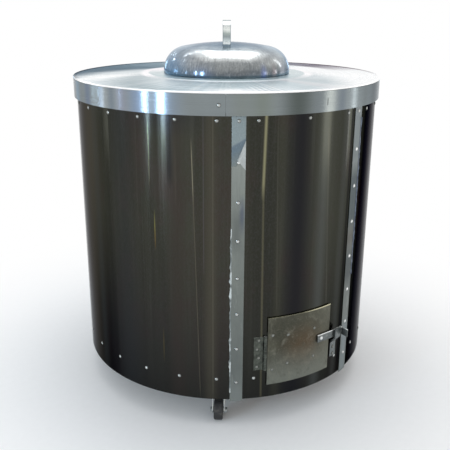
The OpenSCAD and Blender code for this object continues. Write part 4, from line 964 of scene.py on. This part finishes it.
class TANDOOR_OT_inside(Step, bpy.types.Operator):
    """Finish the clay pot, its insulation, the hearth and the inner frame"""
    bl_idname = "tandoor.inside"
    bl_label = "Inside"

    def build(self, sizes, colours):
        paint(frame_finish(colours), "seam_backing_strips", "top_support_ring", "base_pan", "ash_tunnel",
              "door_plug_pan")
        paint(clay_finish(colours), "clay_pot")
        paint(insulation_finish(colours), "insulation_fill", "door_plug_fill")
        paint(firebrick_finish(colours), "hearth_slab")
        paint(grate_finish(colours), "fire_grate")


class TANDOOR_OT_castors(Step, bpy.types.Operator):
    """Finish the castors"""
    bl_idname = "tandoor.castors"
    bl_label = "Castors"

    def build(self, sizes, colours):
        paint(zinc_finish(colours), *each_castor("plate", "fork", "axle"), "castor_plate_bolts",
              "castor_kingpins")
        paint(hub_finish(colours), *each_castor("hub"))
        paint(tyre_finish(colours), *each_castor("tyre"))


class TANDOOR_OT_stage(Step, bpy.types.Operator):
    """Set the floor, the lamps, the sky and the camera"""
    bl_idname = "tandoor.stage"
    bl_label = "Stage"

    def build(self, sizes, colours):
        floor(sizes, colours)
        lamps()
        sky()
        camera()
        bpy.context.scene.view_settings.view_transform = "Standard"


def floor(sizes, colours):
    """Round floor just under the castors: pale and shadowed near the drum, plain white further out."""
    rings = np.concatenate([[0.0], np.linspace(0.3, 3.0, 10), [8.0, sizes.floor_r]])
    az = np.linspace(0.0, 360.0, 96, endpoint=False)
    made = Finish("studio_floor", colours.floor, 0, 0.9)
    grit = made.noise(made.place, 60, 3)
    made.set("Base Color", made.blend(grit, (238, 238, 238), (243, 243, 243)))
    ray = made.node("LightPath").outputs
    seen = made.calc("MAXIMUM", ray["Is Camera Ray"],
                     made.calc("MAXIMUM", ray["Is Glossy Ray"], ray["Is Transmission Ray"]))
    far = made.ramp(made.reach(), 0.42, sizes.shadow_r, 0.0, 1.0, "SMOOTHSTEP")
    plain = made.node("Emission", {"Color": (1.0, 1.0, 1.0, 1.0), "Strength": 1.0}).outputs[0]
    end = made.tree.nodes["Material Output"]
    both = made.node("MixShader", {0: made.times(seen, far), 1: made.shader.outputs[0], 2: plain})
    made.tree.links.new(both.outputs[0], end.inputs["Surface"])
    mesh = grid_mesh("studio_floor", on_drum(az[:, None], 0.0, rings[None, :]), made.material, True)
    piece = placed("studio_floor", mesh)


def aim(place, target):
    """Turn that points a lamp's or camera's -Z from its place to a target, with its X level."""
    back = np.array(place, float) - np.array(target, float)
    back /= np.linalg.norm(back)
    side = np.cross((0.0, 0.0, 1.0), back)
    side = side / np.linalg.norm(side)
    return axes(side, np.cross(back, side), back, place)


def axes(side, up, back, place):
    """Matrix of an object whose X, Y and Z point to its side, up and back."""
    return Matrix([*zip(side, up, back, place), (0.0, 0.0, 0.0, 1.0)])


def panel_lamp(name, place, target, width, height, brightness, tint):
    """Rectangular lamp of an even brightness, where 1 is white to a camera that looks into it."""
    lamp = bpy.data.lights.new(name, "AREA")
    lamp.shape = "RECTANGLE"
    lamp.size, lamp.size_y = width, height
    lamp.energy = brightness * math.pi * width * height
    lamp.color = tint
    placed(name, lamp, aim(place, target)).visible_camera = False


def lamps():
    """Strips round the drum, two panels overhead and the small far lamps of the hall."""
    blue, warm, white = (0.62, 0.82, 1.0), (1.0, 0.93, 0.8), (1.0, 1.0, 1.0)
    strips = (("left", -71.2, 0.15, 0.345, 1.15, 31.0, blue),
              ("far_left", -83.0, 0.07, 0.345, 1.15, 40.0, blue),
              ("side_left", -103.4, 0.03, 0.55, 1.05, 12.0, blue),
              ("back_left", -122.0, 0.16, 0.20, 0.50, 2.4, white),
              ("lid_left", -126.2, 0.03, 0.55, 1.05, 14.0, blue),
              ("lid_far_left", -132.1, 0.03, 0.55, 1.05, 14.0, blue),
              ("behind_left", -176.0, 0.20, 0.70, 1.10, 5.0, blue),
              ("right", 45.0, 0.34, 0.10, 1.10, 1.45, warm),
              ("far_right", 70.0, 0.20, 0.10, 1.10, 2.0, white),
              ("back_right", 88.0, 0.24, 1.25, 2.40, 2.2, white),
              ("behind_right", 128.0, 0.12, 0.50, 0.95, 5.0, blue))
    for name, az, width, low_z, high_z, brightness, tint in strips:
        middle = (low_z + high_z) / 2
        panel_lamp("strip_" + name, on_drum(az, middle, STRIP_DISTANCE), (0.0, 0.0, middle), width,
                   high_z - low_z, brightness, tint)
    panel_lamp("top_soft", (0.39, 0.26, 2.9), (0.395, 0.269, 0.0), 2.0, 1.9, 1.45, white)
    panel_lamp("top_halo", (0.39, 0.26, 2.95), (0.395, 0.269, 0.0), 3.3, 3.3, 0.45, white)
    hall = ((-176.8, 20.2, 0.07), (-156.7, 21.6, 0.08), (-153.5, 42.7, 0.06), (-164.1, 46.8, 0.06),
            (-179.7, 48.0, 0.07), (-193.7, 48.6, 0.06), (-130.5, 34.6, 0.05))
    for k, (az, rise, size) in enumerate(hall, 1):
        level, over = math.cos(math.radians(rise)), math.sin(math.radians(rise))
        place = on_drum(az, LID_MIDDLE_Z + HALL_DISTANCE * over, HALL_DISTANCE * level)
        panel_lamp("hall_lamp_%d" % k, place, (0.0, 0.0, LID_MIDDLE_Z), size, size, 60.0, white)


def sky():
    """Pale studio: white at the horizon and greyer overhead."""
    world = bpy.data.worlds.new("studio")
    world.use_nodes = True
    tree = world.node_tree
    place = tree.nodes.new("ShaderNodeTexCoord")
    parts = tree.nodes.new("ShaderNodeSeparateXYZ")
    tree.links.new(place.outputs["Generated"], parts.inputs[0])
    ramp = tree.nodes.new("ShaderNodeValToRGB")
    tree.links.new(parts.outputs[2], ramp.inputs[0])
    marks = ramp.color_ramp.elements
    marks[0].position, marks[0].color = 0.42, (1.0, 1.0, 1.0, 1.0)
    marks[1].position, marks[1].color = 1.0, (0.50, 0.52, 0.54, 1.0)
    marks.new(0.7).color = (0.66, 0.68, 0.70, 1.0)
    tree.links.new(ramp.outputs[0], tree.nodes["Background"].inputs[0])
    bpy.context.scene.world = world


def camera():
    """Camera at the height, distance and tilt that the drum's ellipses and rivet rows give."""
    turn, pitch, yaw, roll = (math.radians(v) for v in (EYE_AZ, 18.44, -0.06, 0.30))
    forward = np.array((math.sin(yaw) * math.cos(pitch), math.cos(yaw) * math.cos(pitch), -math.sin(pitch)))
    side = np.array((math.cos(yaw), -math.sin(yaw), 0.0))
    up = np.cross(side, forward)
    side, up = side * math.cos(roll) + up * math.sin(roll), up * math.cos(roll) - side * math.sin(roll)
    spin = np.array([[math.cos(turn), -math.sin(turn), 0.0],
                     [math.sin(turn), math.cos(turn), 0.0], [0.0, 0.0, 1.0]])
    side, up, back = spin @ side, spin @ up, -(spin @ forward)
    place = spin @ np.array((0.0, -EYE_DISTANCE, EYE_Z))
    view = bpy.data.cameras.new("photo_camera")
    view.sensor_width = 36.0
    view.lens = view.sensor_width * PHOTO_FOCAL / PHOTO_W
    bpy.context.scene.camera = placed("photo_camera", view, axes(side, up, back, place))


# ---------------- panel

class TANDOOR_PT_panel(bpy.types.Panel):
    """Lists the tandoor's pieces, sizes and colours"""
    bl_label = "Barrel Tandoor"
    bl_space_type = "VIEW_3D"
    bl_region_type = "UI"
    bl_category = "Tandoor"

    def draw(self, context):
        sizes, colours = context.scene.tandoor_sizes, context.scene.tandoor_colours
        column = self.layout.column(align=True)
        for operator in OPERATORS:
            column.operator(operator.bl_idname)
        for group in (sizes, colours):
            box = self.layout.box()
            for key in group.__annotations__:
                box.prop(group, key)


OPERATORS = (TANDOOR_OT_drum, TANDOOR_OT_film, TANDOOR_OT_top, TANDOOR_OT_lid, TANDOOR_OT_handle,
             TANDOOR_OT_door, TANDOOR_OT_inside, TANDOOR_OT_castors, TANDOOR_OT_stage)
CLASSES = (TandoorColours, TandoorSizes, *OPERATORS, TANDOOR_PT_panel)


def register():
    for item in CLASSES:
        bpy.utils.register_class(item)
    bpy.types.Scene.tandoor_colours = PointerProperty(type=TandoorColours)
    bpy.types.Scene.tandoor_sizes = PointerProperty(type=TandoorSizes)


def unregister():
    del bpy.types.Scene.tandoor_sizes
    del bpy.types.Scene.tandoor_colours
    for item in reversed(CLASSES):
        bpy.utils.unregister_class(item)


def main():
    register()
    for operator in OPERATORS:
        getattr(bpy.ops.tandoor, operator.bl_idname.split(".")[1])()


if __name__ == "__main__":
    main()
